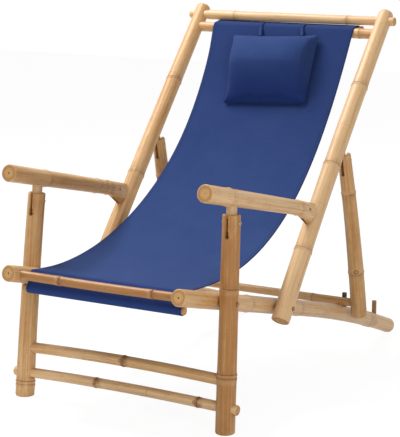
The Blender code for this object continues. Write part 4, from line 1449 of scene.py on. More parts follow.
@dataclass
class LegFrame:
    """Front legs with split tops, two rungs and the post pins."""

    lines: ChairLines
    workshop: Workshop
    leg_nodes: tuple[tuple[float, ...], ...] = ((0.0272, 0.0350), (0.1225, 0.1325, 0.322))
    leg_tones: tuple[float, float] = (0.60, 0.83)
    leg_fades: tuple[float, float] = (0.0, 0.25)
    leg_bows: tuple[float, float] = (0.0025, 0.0)
    socket_radius: float = 0.0168
    socket_depth: float = 0.0135
    slit_width: float = 0.0062
    slit_depth: float = 0.047
    keyhole: float = 0.008
    slit_hole: float = 0.0056
    key_share: float = 0.86
    pin_head: float = 0.0044
    pin_dish: tuple[float, float, float] = (0.75, 1.25, 0.62)
    foot_rise: float = 0.004
    foot_bend: float = 0.016
    upper_height: float = 0.1165
    upper_radius: float = 0.0128
    lower_height: float = 0.055
    lower_radius: float = 0.0119
    rung_tip: float = 0.009
    rung_bow: float = 0.006

    def leg_cuts(self, side: float) -> list[Cut]:
        """Holes and the slit of a leg.

        Args:
            side: Which leg, 1 or -1.

        Returns:
            The cuts.
        """
        lines = self.lines
        foot, top = lines.leg_point(side, 0), lines.leg_point(side, lines.leg_height)
        along = (top - foot).normalized()
        through = 2 * lines.leg_radii[0]
        upper = lines.leg_point(side, self.upper_height)
        pivot = lines.leg_pivot + X_AXIS * side * lines.leg_x()
        hole = top - along * self.slit_depth
        key = hole + along * self.keyhole
        return [cross_bore(pivot, through, lines.pivot_pin + lines.fit),
                cross_bore(lines.post_pin(side), through, lines.small_pin + lines.fit),
                cross_bore(lines.leg_point(side, self.lower_height), through, self.lower_radius + lines.fit),
                blind_bore(upper, side, through, lines.fit, self.upper_radius + lines.fit),
                cross_bore(top, self.socket_depth, self.socket_radius, along),
                Saw(top, along, self.slit_width, through, 2 * self.slit_depth),
                cross_bore(hole, through, self.slit_hole, Y_AXIS),
                cross_bore(key, through, self.slit_hole * self.key_share, Y_AXIS)]

    def build(self) -> None:
        """Make the leg frame."""
        lines = self.lines
        upper = lines.leg_point(1, self.upper_height)
        lower = lines.leg_point(1, self.lower_height)
        tip = lower.x + lines.leg_radius(self.lower_height) + self.rung_tip
        bow = Vector((0, 0, self.rung_bow))
        rungs = (("upper", upper, upper.x, self.upper_radius, (0.277,), 0.36, (0.272, 165, 0.0045)),
                 ("lower", lower, tip, self.lower_radius, (0.236, 0.512), 0.06, (0.507, 170, 0.005)))
        for which, end, half, radius, nodes, tone, bud in rungs:
            path = bar_path(from_side(0, side_view(end)), half, bow)
            Stick(f"{which}_rung_culm", "leg_frame", f"{which}_rung", path, (radius, radius), nodes,
                  tone=tone, knot=1.05, sides=32, swell=0.11, buds=[bud]).build(self.workshop)
        for side, tone, fade, bowed, nodes in zip(Side, self.leg_tones, self.leg_fades, self.leg_bows,
                                                  self.leg_nodes):
            way = side.value
            foot = lines.leg_point(way, 0)
            path = [foot, foot + Vector((0, 0, self.foot_rise))]
            path += straight(lines.leg_point(way, self.foot_bend), lines.leg_point(way, lines.leg_height),
                             X_AXIS * way * bowed)
            Stick(f"leg_culm_{side.label}", "leg_frame", f"front_leg_{side.label}", path, lines.leg_radii,
                  nodes, self.leg_cuts(way), tone, fade=fade, swell=0.075, knot=0.25).build(self.workshop)
            half = X_AXIS * (lines.leg_radii[1] + lines.pin_tip)
            middle = lines.post_pin(way)
            deep, past, share = self.pin_dish
            hollows = [Bore(middle + half * end * deep, middle + half * end * past, lines.small_pin * share)
                       for end in (-1, 1)]
            Stick(f"post_peg_{side.label}", "leg_frame", f"post_pin_{side.label}",
                  [middle - half, middle + half], (lines.small_pin, lines.small_pin), cuts=hollows,
                  grain=Grain.STEEL, ease=0.0009, sides=20, oval=0.0,
                  head=(lines.pin_tip, self.pin_head), heads=(False, True)).build(self.workshop)


@dataclass
class Armrest:
    """One armrest with the post that plugs into its leg."""

    lines: ChairLines
    workshop: Workshop
    side: Side
    tone: float
    front_reach: float = 0.118
    nodes: tuple[float, ...] = (0.0965, 0.423)
    buds: tuple[tuple[float, float, float], ...] = ((0.446, -88, 0.005),)
    lip_length: float = 0.096
    lip_drop: float = 0.0355
    lip_half: float = 0.0118
    slot_width: float = 0.0072
    post_radius: float = 0.012
    post_in_arm: float = 0.016
    post_in_leg: float = 0.008
    post_tongue: tuple[float, float] = (0.0026, 0.0150)
    pin_hole: float = 0.004
    pith: float = 1.0
    swing: float = math.radians(-0.757 * RAISE)

    def cuts(self, rear: Vector) -> list[Cut]:
        """The slot, holes and mouth of the armrest.

        Args:
            rear: Where the culm's axis meets the back pole.

        Returns:
            The cuts.
        """
        lines, way = self.lines, self.side.value
        forward = lines.arm_forward(way)
        pivot = lines.arm_pivot(way)
        slot = lines.arm_pivot_ahead + lines.tongue_half[1] + lines.swing_gap
        seat = lines.leg_point(way, lines.leg_height + lines.post_shows + self.post_in_arm + lines.fit)
        below = lines.leg_point(way, lines.leg_height - self.post_in_leg)
        return [Saw(rear + forward * slot / 2, forward, self.slot_width, 2 * self.lip_drop, slot),
                cross_bore(pivot, 2 * lines.arm_radii[0], lines.small_pin + lines.fit),
                Bore(below, seat, self.post_radius + lines.fit),
                *pole_mouth(lines, way, lines.arm_on_pole, pivot, self.swing, -1)]

    def build(self) -> None:
        """Make the armrest and its post."""
        lines, way, label = self.lines, self.side.value, self.side.label
        body = f"armrest_{label}"
        forward = lines.arm_forward(way)
        rear = lines.pole_point(way, lines.arm_on_pole)
        front = lines.arm_over_leg(way) + forward * self.front_reach
        plain = (front - rear).length - self.lip_length
        slant = lines.arm_radii[1] / abs(forward.dot(lines.rear))
        ArmCulm(f"arm_culm_{label}", body, body, [front, rear], lines.arm_radii,
                self.nodes, self.cuts(rear), self.tone, ends=(True, False), swell=0.085,
                buds=self.buds, pith=self.pith, plain=plain, lip_centre=rear - lines.up * self.lip_drop / 2,
                lip_tangent=lines.rear,
                lip_half=(self.lip_half, slant + self.lip_drop / 2)).build(self.workshop)
        top = lines.leg_point(way, lines.leg_height + lines.post_shows + self.post_in_arm)
        tip = lines.post_pin(way)
        run = (tip - top).normalized()
        length = (tip - top).length
        shoulder = (lines.leg_point(way, lines.leg_height - self.post_in_leg) - top).length
        Dowel(f"post_{label}", body, f"arm_post_{label}", [top, tip + run * self.post_tongue[1]],
              (self.post_radius, self.post_radius), cuts=[cross_bore(tip, self.post_radius, self.pin_hole)],
              grain=Grain.BARE, ease=0.0012, sides=32, oval=0.02, spacing=0.006, shoulder=shoulder,
              tip=length, tongue=self.post_tongue).build(self.workshop)


def pole_mouth(lines: ChairLines, side: float, along: float, pivot: Vector, swing: float,
               behind: float) -> list[Cut]:
    """The hollow that fits a piece to its back pole, and the chamfer that lets it swing.

    Args:
        lines: The lines of the frame.
        side: Which side, 1 or -1.
        along: Where on the pole.
        pivot: The piece's pivot.
        swing: How far it turns against the pole.
        behind: 1 where the piece is behind the pole, -1 where it is ahead.

    Returns:
        The two cuts.
    """
    reach = 4 * lines.pole_radii[0]
    radius = lines.pole_radius(along - reach) * (1 + lines.swell) + lines.swing_gap
    face = turned(lines.pole_axis(side, along) + lines.rear * behind * radius, pivot, -swing)
    inward = turned(-lines.rear * behind, ORIGIN, -swing)
    return [Bore(lines.pole_axis(side, along - reach), lines.pole_axis(side, along + reach), radius, 48),
            Saw(face + inward * reach / 2, inward, 2 * reach, reach, reach)]


@dataclass
class Backrest:
    """Bowed back poles, two top rails, the tenons with their pins and the rear hem rod."""

    lines: ChairLines
    workshop: Workshop
    pole_nodes: tuple[tuple[float, ...], ...] = ((0.350, 0.645), (0.186, 0.424, 0.658))
    pole_tones: tuple[float, float] = (0.47, -0.06)
    pole_dome: float = 0.009
    upper_radii: tuple[float, float] = (0.0130, 0.0114)
    rail_sag: float = 0.003
    rail_bow: float = 0.004
    rail_seat: float = 0.003
    pole_steps: int = 40
    tip: float = 0.012
    tenon_radius: float = 0.0085
    tenon_in_pole: float = 0.006
    hem_radius: float = 0.0075
    hem_overhang: float = 0.012
    cloth_gap: float = 0.0004
    cloth_thick: float = 0.0024
    sling_half: float = 0.2045

    def hem_point(self) -> Vector:
        """Axis of the rear hem rod, behind the gap between the top rails.

        Returns:
            Its middle.
        """
        lines = self.lines
        wrap = 2 * self.cloth_gap + self.cloth_thick + self.hem_radius
        to_upper, to_lower = lines.top_rail_radii[0] + wrap, lines.top_rail_radii[1] + wrap
        pitch = lines.top_rail_pitch
        along = (to_lower ** 2 - to_upper ** 2 + pitch ** 2) / (2 * pitch)
        behind = math.sqrt(max(0.0, to_lower ** 2 - along ** 2))
        return lines.pole_point(0, lines.lower_rail + along) + lines.rear * behind

    def pole_cuts(self, side: float) -> list[Cut]:
        """Holes of a back pole.

        Args:
            side: Which pole, 1 or -1.

        Returns:
            The holes for its pin, the top rails and the tenons.
        """
        lines = self.lines
        through = 2 * lines.pole_radii[0]
        rails = lines.top_rail_radii
        cuts: list[Cut] = [
            cross_bore(lines.pole_point(side, 0), through, lines.pivot_pin + lines.fit),
            cross_bore(lines.pole_point(side, lines.upper_rail), through, rails[0] + lines.fit),
            blind_bore(lines.pole_point(side, lines.lower_rail), side, through, lines.fit,
                       rails[1] + lines.fit)]
        for along, direction in ((lines.arm_on_pole, lines.arm_forward(side)),
                                 (lines.prop_on_pole, lines.rear)):
            root = lines.tenon_root(side, along, direction)
            cuts.append(Bore(root - direction * (self.tenon_in_pole + lines.fit), root + direction * through,
                             self.tenon_radius + lines.fit))
        return cuts

    def build(self) -> None:
        """Make the backrest."""
        lines = self.lines
        reach = lines.pole_x() + lines.pole_radius(lines.upper_rail) + self.tip
        in_pole = self.tip + 2 * lines.pole_radius(lines.upper_rail) + self.rail_seat
        Stick("upper_top_culm", "backrest", "upper_top_rail",
              bar_path(lines.pole_point(0, lines.upper_rail), reach,
                       -lines.up * self.rail_sag - lines.rear * self.rail_bow), self.upper_radii,
              (0.141, 0.474), tone=-0.42, fade=0.1, sides=32, swell=0.045,
              head=(in_pole, lines.top_rail_radii[0]), shoulder_run=0.007).build(self.workshop)
        Stick("lower_top_culm", "backrest", "lower_top_rail",
              bar_path(lines.pole_point(0, lines.lower_rail), lines.pole_x()), (lines.top_rail_radii[1],) * 2,
              (0.49,), tone=0.38, sides=32).build(self.workshop)
        Stick("rear_hem_stick", "backrest", "rear_hem_rod",
              bar_path(self.hem_point(), self.sling_half + self.hem_overhang), (self.hem_radius,) * 2,
              grain=Grain.ROD, sides=28, ease=0.0015).build(self.workshop)
        for side, tone, nodes in zip(Side, self.pole_tones, self.pole_nodes):
            self.build_side(side, tone, nodes)

    def build_side(self, side: Side, tone: float, nodes: Sequence[float]) -> None:
        """Make one back pole with its tenons and pins.

        Args:
            side: Which side.
            tone: How brown the pole is.
            nodes: Distances of its nodes from its foot.
        """
        lines, way, label = self.lines, side.value, side.label
        steps = self.pole_steps
        span = lines.pole_below + lines.pole_above
        path = [lines.pole_axis(way, span * step / steps - lines.pole_below) for step in range(steps + 1)]
        Stick(f"pole_culm_{label}", "backrest", f"back_pole_{label}", path, lines.pole_radii, nodes,
              self.pole_cuts(way), tone, swell=0.08, dome=self.pole_dome).build(self.workshop)
        jobs = (("arm", lines.arm_on_pole, lines.arm_forward(way), lines.arm_pivot(way),
                 lines.arm_radii[1] + lines.pin_tip / 2, "armrest_pin", Grain.PEG),
                ("prop", lines.prop_on_pole, lines.rear, lines.prop_pivot(way),
                 lines.strut_radii[0] + lines.pin_tip, "prop_pin", Grain.STEEL))
        for which, along, direction, pivot, half, node, grain in jobs:
            root = lines.tenon_root(way, along, direction)
            shoulder = lines.tenon_shoulder(root, direction, along, self.tenon_radius)
            start = root - direction * self.tenon_in_pole
            run = (pivot - start).normalized()
            Dowel(f"{which}_tongue_{label}", "backrest", f"{which}_tenon_{label}",
                  [start, pivot + run * lines.tongue_half[1]], (self.tenon_radius,) * 2,
                  cuts=[cross_bore(pivot, self.tenon_radius, lines.small_pin + lines.fit)], grain=Grain.BARE,
                  ease=0.001, sides=32, oval=0.0, spacing=0.006, shoulder=(shoulder - start).length,
                  tip=(pivot - start).length).build(self.workshop)
            Stick(f"{which}_peg_{label}", "backrest", f"{node}_{label}",
                  [pivot - X_AXIS * half, pivot + X_AXIS * half], (lines.small_pin,) * 2, grain=grain,
                  ease=0.0009, sides=20, oval=0.0).build(self.workshop)


@dataclass
class Prop:
    """Two struts, split at the top, and the crossbar that rests on the rails."""

    lines: ChairLines
    workshop: Workshop
    strut_nodes: tuple[float, ...] = (0.102, 0.320)
    strut_buds: tuple[tuple[float, float, float], ...] = ((0.312, 62, 0.006),)
    strut_tones: tuple[float, float] = (0.72, 0.61)
    strut_bows: tuple[float, float] = (0.0, 0.004)
    fuller: float = 1.07
    above_pin: float = 0.0135
    below_bar: float = 0.034
    slit_width: float = 0.0080
    slit_depth: float = 0.052
    slit_hole: float = 0.0052
    swing: float = math.radians(-1.5 * RAISE)

    def cuts(self, side: float, top: Vector, down: Vector) -> list[Cut]:
        """The mouth, slit and holes of a strut.

        Args:
            side: Which strut, 1 or -1.
            top: Its top end.
            down: Direction down along it.

        Returns:
            The cuts.
        """
        lines = self.lines
        through = 2 * lines.strut_radii[1]
        pivot, bar = lines.prop_pivot(side), lines.prop_bar(side)
        hole = top + down * self.slit_depth
        return [Saw(top, down, self.slit_width, through, 2 * self.slit_depth),
                cross_bore(hole, through, self.slit_hole, Y_AXIS),
                cross_bore(pivot, through, lines.small_pin + lines.fit),
                blind_bore(bar, side, through, lines.fit, lines.prop_bar_radius + lines.fit),
                *pole_mouth(lines, side, lines.prop_on_pole, pivot, self.swing, 1)]

    def build(self) -> None:
        """Make the prop."""
        lines = self.lines
        bar = lines.prop_bar(1)
        Stick("prop_bar_culm", "prop", "prop_crossbar", bar_path(Vector((0, bar.y, bar.z)), bar.x),
              (lines.prop_bar_radius,) * 2, (0.16, 0.42), tone=0.6, sides=32).build(self.workshop)
        for side, tone, bowed in zip(Side, self.strut_tones, self.strut_bows):
            way = side.value
            pivot, bar = lines.prop_pivot(way), lines.prop_bar(way)
            down = (bar - pivot).normalized()
            top = pivot - down * self.above_pin
            path = straight(top, bar + down * self.below_bar, X_AXIS * way * bowed)
            radii = (lines.strut_radii[0] * self.fuller, lines.strut_radii[1] * self.fuller)
            Stick(f"strut_culm_{side.label}", "prop", f"prop_strut_{side.label}", path, radii,
                  self.strut_nodes, self.cuts(way, top, down), tone, swell=0.085,
                  buds=self.strut_buds).build(self.workshop)


@dataclass
class Sling:
    """The hanging canvas: a sleeve at each end, side hems, and a seat and back that hang between."""

    base: Base
    backrest: Backrest
    half: float = 0.2045
    thick: float = 0.0016
    body_share: float = 0.6
    hem: float = 0.011
    seat_pull: float = 0.4255
    seat_dip: float = math.radians(-6.0)
    back_pull: float = 0.3699
    back_rise: float = math.radians(61.8)
    spread: float = 0.0055
    sway: float = 0.0035
    front_sweep: float = math.radians(285.0)
    rear_sweep: float = math.radians(330.0)
    steps: tuple[int, int, int, int, int] = (36, 12, 132, 12, 26)
    columns: int = 64
    ripple: float = 0.0011
    flare: float = 0.0085
    top_flare: float = 0.005
    hem_shift: float = 0.005
    hem_spread: float = 0.006
    gap: float = 0.0003
    flare_runs: tuple[float, float] = (0.02, 0.06)
    hem_run: float = 0.04
    hem_shares: tuple[float, ...] = (0.0, 0.35, 0.86, 1.0, 1.14)
    ripples: tuple[tuple[float, float, float, float], ...] = ((1.3, 3.5, 4.2, 1.0), (3.4, 1.1, 9.1, 0.6))
    blend_drop: float = 0.27
    line: list[complex] = field(init=False, default_factory=list)
    reach: list[float] = field(init=False, default_factory=list)
    first: int = field(init=False, default=0)
    last: int = field(init=False, default=0)

    def __post_init__(self) -> None:
        """Lay the cloth's line in the side view."""
        lines = self.base.lines
        cloth = self.gap + self.thick / 2
        bars = (self.base.hem_radius, self.base.bar_radius, lines.top_rail_radii[1], self.backrest.hem_radius)
        radii = [radius + cloth for radius in bars]
        points = (self.base.hem_point(), self.base.bar_point(), lines.pole_point(0, lines.lower_rail),
                  self.backrest.hem_point())
        rod, bar, top, rear = (side_view(point) for point in points)
        meet = self.tangent_angle(rod, radii[0], bar, radii[1])
        leave = math.pi / 2 + self.seat_dip
        arrive = math.pi / 2 + self.back_rise
        part = self.tangent_angle(top, radii[2], rear, radii[3])
        self.line = self.arc(rod, radii[0], meet + self.front_sweep, -self.front_sweep, self.steps[0])
        self.line += self.arc(bar, radii[1], meet, leave - meet, self.steps[1])
        self.first = len(self.line) - 1
        start, end = self.line[-1], top + radii[2] * heading(arrive)
        seat = start + self.seat_pull * heading(self.seat_dip)
        back = end - self.back_pull * heading(self.back_rise)
        for step in range(1, self.steps[2]):
            t = step / self.steps[2]
            s = 1 - t
            self.line.append(s ** 3 * start + 3 * s * s * t * seat + 3 * s * t * t * back + t ** 3 * end)
        self.last = len(self.line)
        self.line += self.arc(top, radii[2], arrive, part - arrive, self.steps[3])
        self.line += self.arc(rear, radii[3], part, -self.rear_sweep, self.steps[4])
        self.reach = [0.0]
        for before, after in zip(self.line, self.line[1:]):
            self.reach.append(self.reach[-1] + abs(after - before))

    @staticmethod
    def arc(centre: complex, radius: float, start: float, sweep: float, steps: int) -> list[complex]:
        """Points of an arc about a centre."""
        return [centre + radius * heading(start + sweep * step / steps) for step in range(steps + 1)]

    @staticmethod
    def tangent_angle(first: complex, first_radius: float, second: complex, second_radius: float) -> float:
        """Angle of the normal that two circles share where the cloth passes over both.

        Args:
            first: Centre of the first circle.
            first_radius: Its radius.
            second: Centre of the second circle.
            second_radius: Its radius.

        Returns:
            The angle.
        """
        gap = second - first
        lean = math.asin((first_radius - second_radius) / abs(gap))
        return math.atan2(gap.imag, gap.real) + math.pi / 2 - lean

    def along_back(self, drop: float) -> tuple[complex, complex]:
        """The cloth's line at a drop below the lower top rail.

        Args:
            drop: Distance down along the cloth.

        Returns:
            The point in the side view and the upward direction there.
        """
        rest = drop
        down = self.line[self.last:self.first - 1:-1]
        for upper, lower in zip(down, down[1:]):
            span = abs(upper - lower)
            if rest <= span:
                return upper + (lower - upper) * rest / span, (upper - lower) / span
            rest -= span
        return self.line[self.first], 1 + 0j

    def build(self) -> None:
        """Make the sling."""
        reach = self.reach
        shape = cloth_grid(self.columns, len(self.line) - 1, self.lay)
        sling = add("canvas_sling", shape, self.base.workshop.canvas)
        sling.data.shade_smooth()
        self.thicken(sling)
        low, high = self.base.bar_point(), self.along_back(self.blend_drop)[0]
        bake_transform(sling)
        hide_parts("sling")
        LOG.info("canvas_sling: %.3f x %.3f m flat", 2 * self.half, reach[-1])

    def lay(self, spot: Vector) -> Laid:
        """Lay one point of the cloth.

        Args:
            spot: Its place on the unit square.

        Returns:
            Its place in the frame, its distance to the side edge and its place on the flat cloth.
        """
        rows, reach = len(self.line) - 1, self.reach
        index = round((spot.y + 0.5) * rows)
        across = self.column(2 * spot.x)
        share = clamp((index - self.first) / (self.last - self.first))
        wave = math.sin(2 * math.pi * share)
        half = self.half + self.spread * wave
        step = self.line[min(index + 1, rows)] - self.line[max(index - 1, 0)]
        lift = self.relief(across, share, reach[index])
        point = self.line[index] + step / abs(step) * 1j * lift
        past = reach[index] - reach[self.first]
        below = max(0.0, reach[self.last] - reach[index])
        left, right = max(0.0, -across) ** 3, max(0.0, across) ** 3
        aside = -self.flare * left * math.exp(-(past / self.flare_runs[past > 0]) ** 2)
        aside -= self.top_flare * left * math.exp(-(below / self.flare_runs[1]) ** 2)
        aside += (self.hem_shift + self.hem_spread * right) * clamp(-past / self.hem_run)
        place = from_side(across * half - self.sway * wave + aside, point)
        return place, half * (1 - abs(across)), (across * half, reach[index])

    def column(self, across: float) -> float:
        """Where a column lies across the cloth: close columns mark each side hem.

        Args:
            across: The column's even place, from -1 to 1.

        Returns:
            Its place, from -1 to 1.
        """
        share = self.hem / self.half
        step = 2.0 / self.columns
        count = round((1 - abs(across)) / step)
        edges = [share * part for part in self.hem_shares]
        if count < len(edges):
            return math.copysign(1 - edges[count], across)
        rest = (1 - edges[-1]) / (1 - (len(edges) - 1) * step)
        return across * rest

    def relief(self, across: float, share: float, reach: float) -> float:
        """Small ripples of the hanging cloth, none at its ends.

        Args:
            across: Place across the cloth, from -1 to 1.
            share: Place along its hanging run, from 0 to 1.
            reach: Distance along the cloth.

        Returns:
            How far the cloth stands off its line.
        """
        hold = math.sin(math.pi * share) ** 0.5 if 0 < share < 1 else 0.0
        waves = [weight * noise.noise(Vector((across * wide, reach * long, seed)))
                 for wide, long, seed, weight in self.ripples]
        return self.ripple * hold * sum(waves)

    def thicken(self, sling: bpy.types.Object) -> None:
        """Give the cloth its thickness, which is greater along the side hems.

        Args:
            sling: The cloth.
        """
        group = sling.vertex_groups.new(name="hems")
        edge = sling.data.attributes["edge"]
        for vert in sling.data.vertices:
            hem = edge.data[vert.index].value < self.hem
            group.add([vert.index], 1.0 if hem else self.body_share, "REPLACE")
        skin = sling.modifiers.new("cloth", "SOLIDIFY")
        skin.thickness = self.thick
        skin.offset = 0
        skin.vertex_group = group.name
        skin.use_even_offset = False


# How the pillow's cover stretches while it is filled
FILLING = {"quality": 6, "mass": 0.3, "tension_stiffness": 18, "compression_stiffness": 12,
           "shear_stiffness": 8, "bending_stiffness": 0.6, "use_pressure": True,
           "uniform_pressure_force": 4.0}


@dataclass
class Pillow:
    """The head pillow, filled and drawn in at its sides, with a rolled seam and two straps."""

    sling: Sling
    top_left: tuple[float, float] = (-0.1325, 0.0325)
    top_right: tuple[float, float] = (0.1175, 0.0225)
    low_left: tuple[float, float] = (-0.1045, 0.2310)
    low_right: tuple[float, float] = (0.1300, 0.2175)
    thick: float = 0.066
    edge: float = 0.007
    seam: float = 0.012
    ridge: float = 0.05
    hold: float = 0.012
    pull: float = 0.030
    side_share: float = 0.12
    end_share: float = 0.14
    low_share: float = 0.2
    cuts: int = 15
    back_share: float = 0.9
    high_fall: tuple[float, float] = (2.2, 0.8)
    low_fall: float = 1.25
    least: float = 0.001
    lift: float = 0.0006
    strap_lean: float = 0.012
    strap_shift: float = -0.003
    strap_pitch: float = 0.122
    strap_width: float = 0.010
    strap_thick: float = 0.0016
    strap_crown: float = 0.0007
    strap_steps: int = 8
    strap_columns: int = 6
    seam_radius: float = 0.0015
    seam_steps: int = 40
    seam_passes: int = 2
    seam_sides: int = 8
    voxel: float = 0.0045
    cap: float = 0.004
    frames: int = 20
    clear: float = 0.0016

    def spot(self, across: float, up: float, stand: float) -> Vector:
        """A point over the sling.

        Args:
            across: Place across the pillow, from -1 to 1.
            up: Place up the pillow, from -1 to 1.
            stand: Distance in front of the cloth.

        Returns:
            The point in the frame.
        """
        x, drop = self.outline(across, up)
        point, rise = self.sling.along_back(drop)
        point += rise * 1j * (self.clear + stand)
        return from_side(x, point)

    def seam_at(self, up: float) -> float:
        """How far the seam stands off the cloth; it hangs closer lower down."""
        return self.seam * (0.75 + 0.25 * up)

    def outline(self, across: float, up: float) -> tuple[float, float]:
        """Place on the cloth, with the sides drawn in between the corners.

        Args:
            across: Place across the pillow, from -1 to 1.
            up: Place up the pillow, from -1 to 1.

        Returns:
            The distance aside and the drop.
        """
        top = Vector(self.top_left).lerp(Vector(self.top_right), (1 + across) / 2)
        low = Vector(self.low_left).lerp(Vector(self.low_right), (1 + across) / 2)
        spot = low.lerp(top, (1 + up) / 2)
        spot.x -= across * (1 - up * up) * self.pull * self.side_share
        spot.y += (up if up > 0 else up * self.low_share) * (1 - across * across) * self.pull * self.end_share
        return spot.x, spot.y

    def shape(self) -> bmesh.types.BMesh:
        """Sew the pillow.

        Returns:
            The pillow before it is filled.
        """
        shape = bmesh.new()
        bmesh.ops.create_cube(shape, size=2)
        bmesh.ops.subdivide_edges(shape, edges=shape.edges, cuts=self.cuts, use_grid_fill=True)
        for vert in shape.verts:
            across, up, out = vert.co
            crown = math.sqrt(max(0.0, (1 - across ** 4) * (1 - up ** 4)))
            seam = self.seam_at(up)
            swell = seam * self.back_share
            if out > 0:
                high = up > self.ridge
                share = (up - self.ridge) / ((1 if high else -1) - self.ridge)
                first, second = self.high_fall
                fall = (1 - share ** first) ** second if high else 1 - share ** self.low_fall
                crown = math.sqrt(max(0.0, 1 - across ** 4)) * fall
                swell = self.thick - seam
            stand = seam + out * (self.edge / 2 + (swell - self.edge / 2) * crown)
            vert.co = self.spot(across, up, max(stand, self.least))
        bmesh.ops.recalc_face_normals(shape, faces=shape.faces)
        return shape

    def build(self) -> None:
        """Make the pillow, its seam and its straps."""
        workshop = self.sling.base.workshop
        pillow = add("head_pillow", self.shape(), workshop.pillow_canvas)
        self.fill(pillow)
        smooth = pillow.modifiers.new("smooth", "SUBSURF")
        smooth.levels = smooth.render_levels = 1
        pillow.data.shade_smooth()
        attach(pillow, "pillow")
        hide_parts("pillow")
        self.build_seam(pillow)
        for side in Side:
            self.build_strap(side)
        LOG.info("head_pillow rides on pillow")

    def fill(self, pillow: bpy.types.Object) -> None:
        """Blow the pillow up as cloth, and keep the filled mesh.

        Args:
            pillow: The sewn pillow.
        """
        remesh = pillow.modifiers.new("even", "REMESH")
        remesh.mode = "VOXEL"
        remesh.voxel_size = self.voxel
        keep(pillow)
        rest = [vert.co.copy() for vert in pillow.data.vertices]
        cloth = pillow.modifiers.new("fill", "CLOTH")
        for name, value in FILLING.items():
            setattr(cloth.settings, name, value)
        cloth.settings.effector_weights.gravity = 0.0
        cloth.point_cache.frame_start = 1
        cloth.point_cache.frame_end = self.frames
        for frame in range(1, self.frames + 1):
            bpy.context.scene.frame_set(frame)
        keep(pillow)
        bpy.context.scene.frame_set(1)
        for vert, was in zip(pillow.data.vertices, rest):
            move = vert.co - was
            if move.length > self.cap:
                vert.co = was + move * (self.cap / move.length)
        self.hold_seam(pillow, rest)
        self.settle(pillow)

    def hold_seam(self, pillow: bpy.types.Object, rest: Sequence[Vector]) -> None:
        """Keep the filled pillow's edge at its sewn seam.

        Args:
            pillow: The filled pillow.
            rest: Its points before it was filled.
        """
        tree = KDTree(4 * self.seam_steps)
        for index, point in enumerate(self.seam_line()):
            tree.insert(point, index)
        tree.balance()
        for vert, was in zip(pillow.data.vertices, rest):
            away = min(1.0, tree.find(was)[2] / self.hold)
            vert.co = was.lerp(vert.co, away * away * (3 - 2 * away))

    def settle(self, pillow: bpy.types.Object) -> None:
        """Keep the filled pillow's back on the sling.

        Args:
            pillow: The filled pillow.
        """
        line = self.sling.line[self.sling.first:self.sling.last + 1]
        for vert in pillow.data.vertices:
            here = side_view(vert.co)
            index = min(range(1, len(line)), key=lambda place: abs(line[place] - here))
            rise = line[index] - line[index - 1]
            rise /= abs(rise)
            stand = ((here - line[index]) / (rise * 1j)).real
            least = self.clear + self.lift
            if stand < least:
                here += rise * 1j * (least - stand)
                vert.co = from_side(vert.co.x, here)

    def seam_line(self) -> list[Vector]:
        """Walk round the pillow's edge.

        Returns:
            The points.
        """
        corners = [Vector(corner) for corner in ((-1, -1), (1, -1), (1, 1), (-1, 1))]
        sides = zip(corners, corners[1:] + corners[:1])
        walk = [start.lerp(end, step / self.seam_steps)
                for start, end in sides for step in range(self.seam_steps)]
        return [self.spot(spot.x, spot.y, self.seam_at(spot.y)) for spot in walk]

    def build_seam(self, pillow: bpy.types.Object) -> None:
        """Make the rolled seam round the pillow's edge.

        Args:
            pillow: The finished pillow.
        """
        shape = bmesh.new()
        shape.from_mesh(pillow.data)
        skin = BVHTree.FromBMesh(shape)
        shape.clear()
        middle = self.spot(0, 0, self.seam_at(0))
        points = []
        for point in self.seam_line():
            inward = (middle - point).normalized()
            edge = skin.ray_cast(point - inward * self.thick, inward)[0]
            points.append(edge or point)
        for _ in range(self.seam_passes):
            points = [(points[index - 1] + point * 2 + points[(index + 1) % len(points)]) / 4
                      for index, point in enumerate(points)]
        loops = []
        for index, point in enumerate(points):
            ahead = points[(index + 1) % len(points)] - points[index - 1]
            ring = bmesh.ops.create_circle(shape, segments=self.seam_sides, radius=self.seam_radius,
                                           matrix=Matrix.Translation(point) @ self.square(ahead))
            loops.append({edge for vert in ring["verts"] for edge in vert.link_edges})
        for before, after in zip(loops, loops[1:] + loops[:1]):
            bmesh.ops.bridge_loops(shape, edges=list(before) + list(after))
        bmesh.ops.recalc_face_normals(shape, faces=shape.faces)
        seam = add("pillow_seam", shape, self.sling.base.workshop.pillow_canvas)
        seam.data.shade_smooth()
        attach(seam, "pillow")
        LOG.info("pillow_seam rides on pillow")

    def square(self, ahead: Vector) -> Matrix:
        """A frame across the seam, steady about the pillow's own normal.

        Args:
            ahead: The seam's direction.

        Returns:
            The frame.
        """
        forward = ahead.normalized()
        normal = self.sling.base.lines.rear
        across = normal.cross(forward).normalized()
        return Matrix((across, forward.cross(across), forward)).transposed().to_4x4()

    def build_strap(self, side: Side) -> None:
        """Make one strap, from the pillow's seam up over the lower top rail.

        Args:
            side: Which strap.
        """
        lines = self.sling.base.lines
        middle = self.strap_shift + side.value * self.strap_pitch / 2
        across = 2 * (middle - self.top_left[0]) / (self.top_right[0] - self.top_left[0]) - 1
        sewn = self.outline(across, 1.0)[1]
        spots = []
        steps = self.strap_steps
        for step in range(steps + 1):
            share = 1 - step / steps
            point, rise = self.sling.along_back(sewn * share)
            spots.append((point + rise * 1j * self.seam * share, rise * 1j))
        centre = side_view(lines.pole_point(0, lines.lower_rail))
        arm = spots[-1][0] - centre
        start = math.atan2(arm.imag, arm.real)
        for step in range(1, steps + 1):
            way = heading(start + (math.pi / 2 - start) * step / steps)
            spots.append((centre + abs(arm) * way, way))

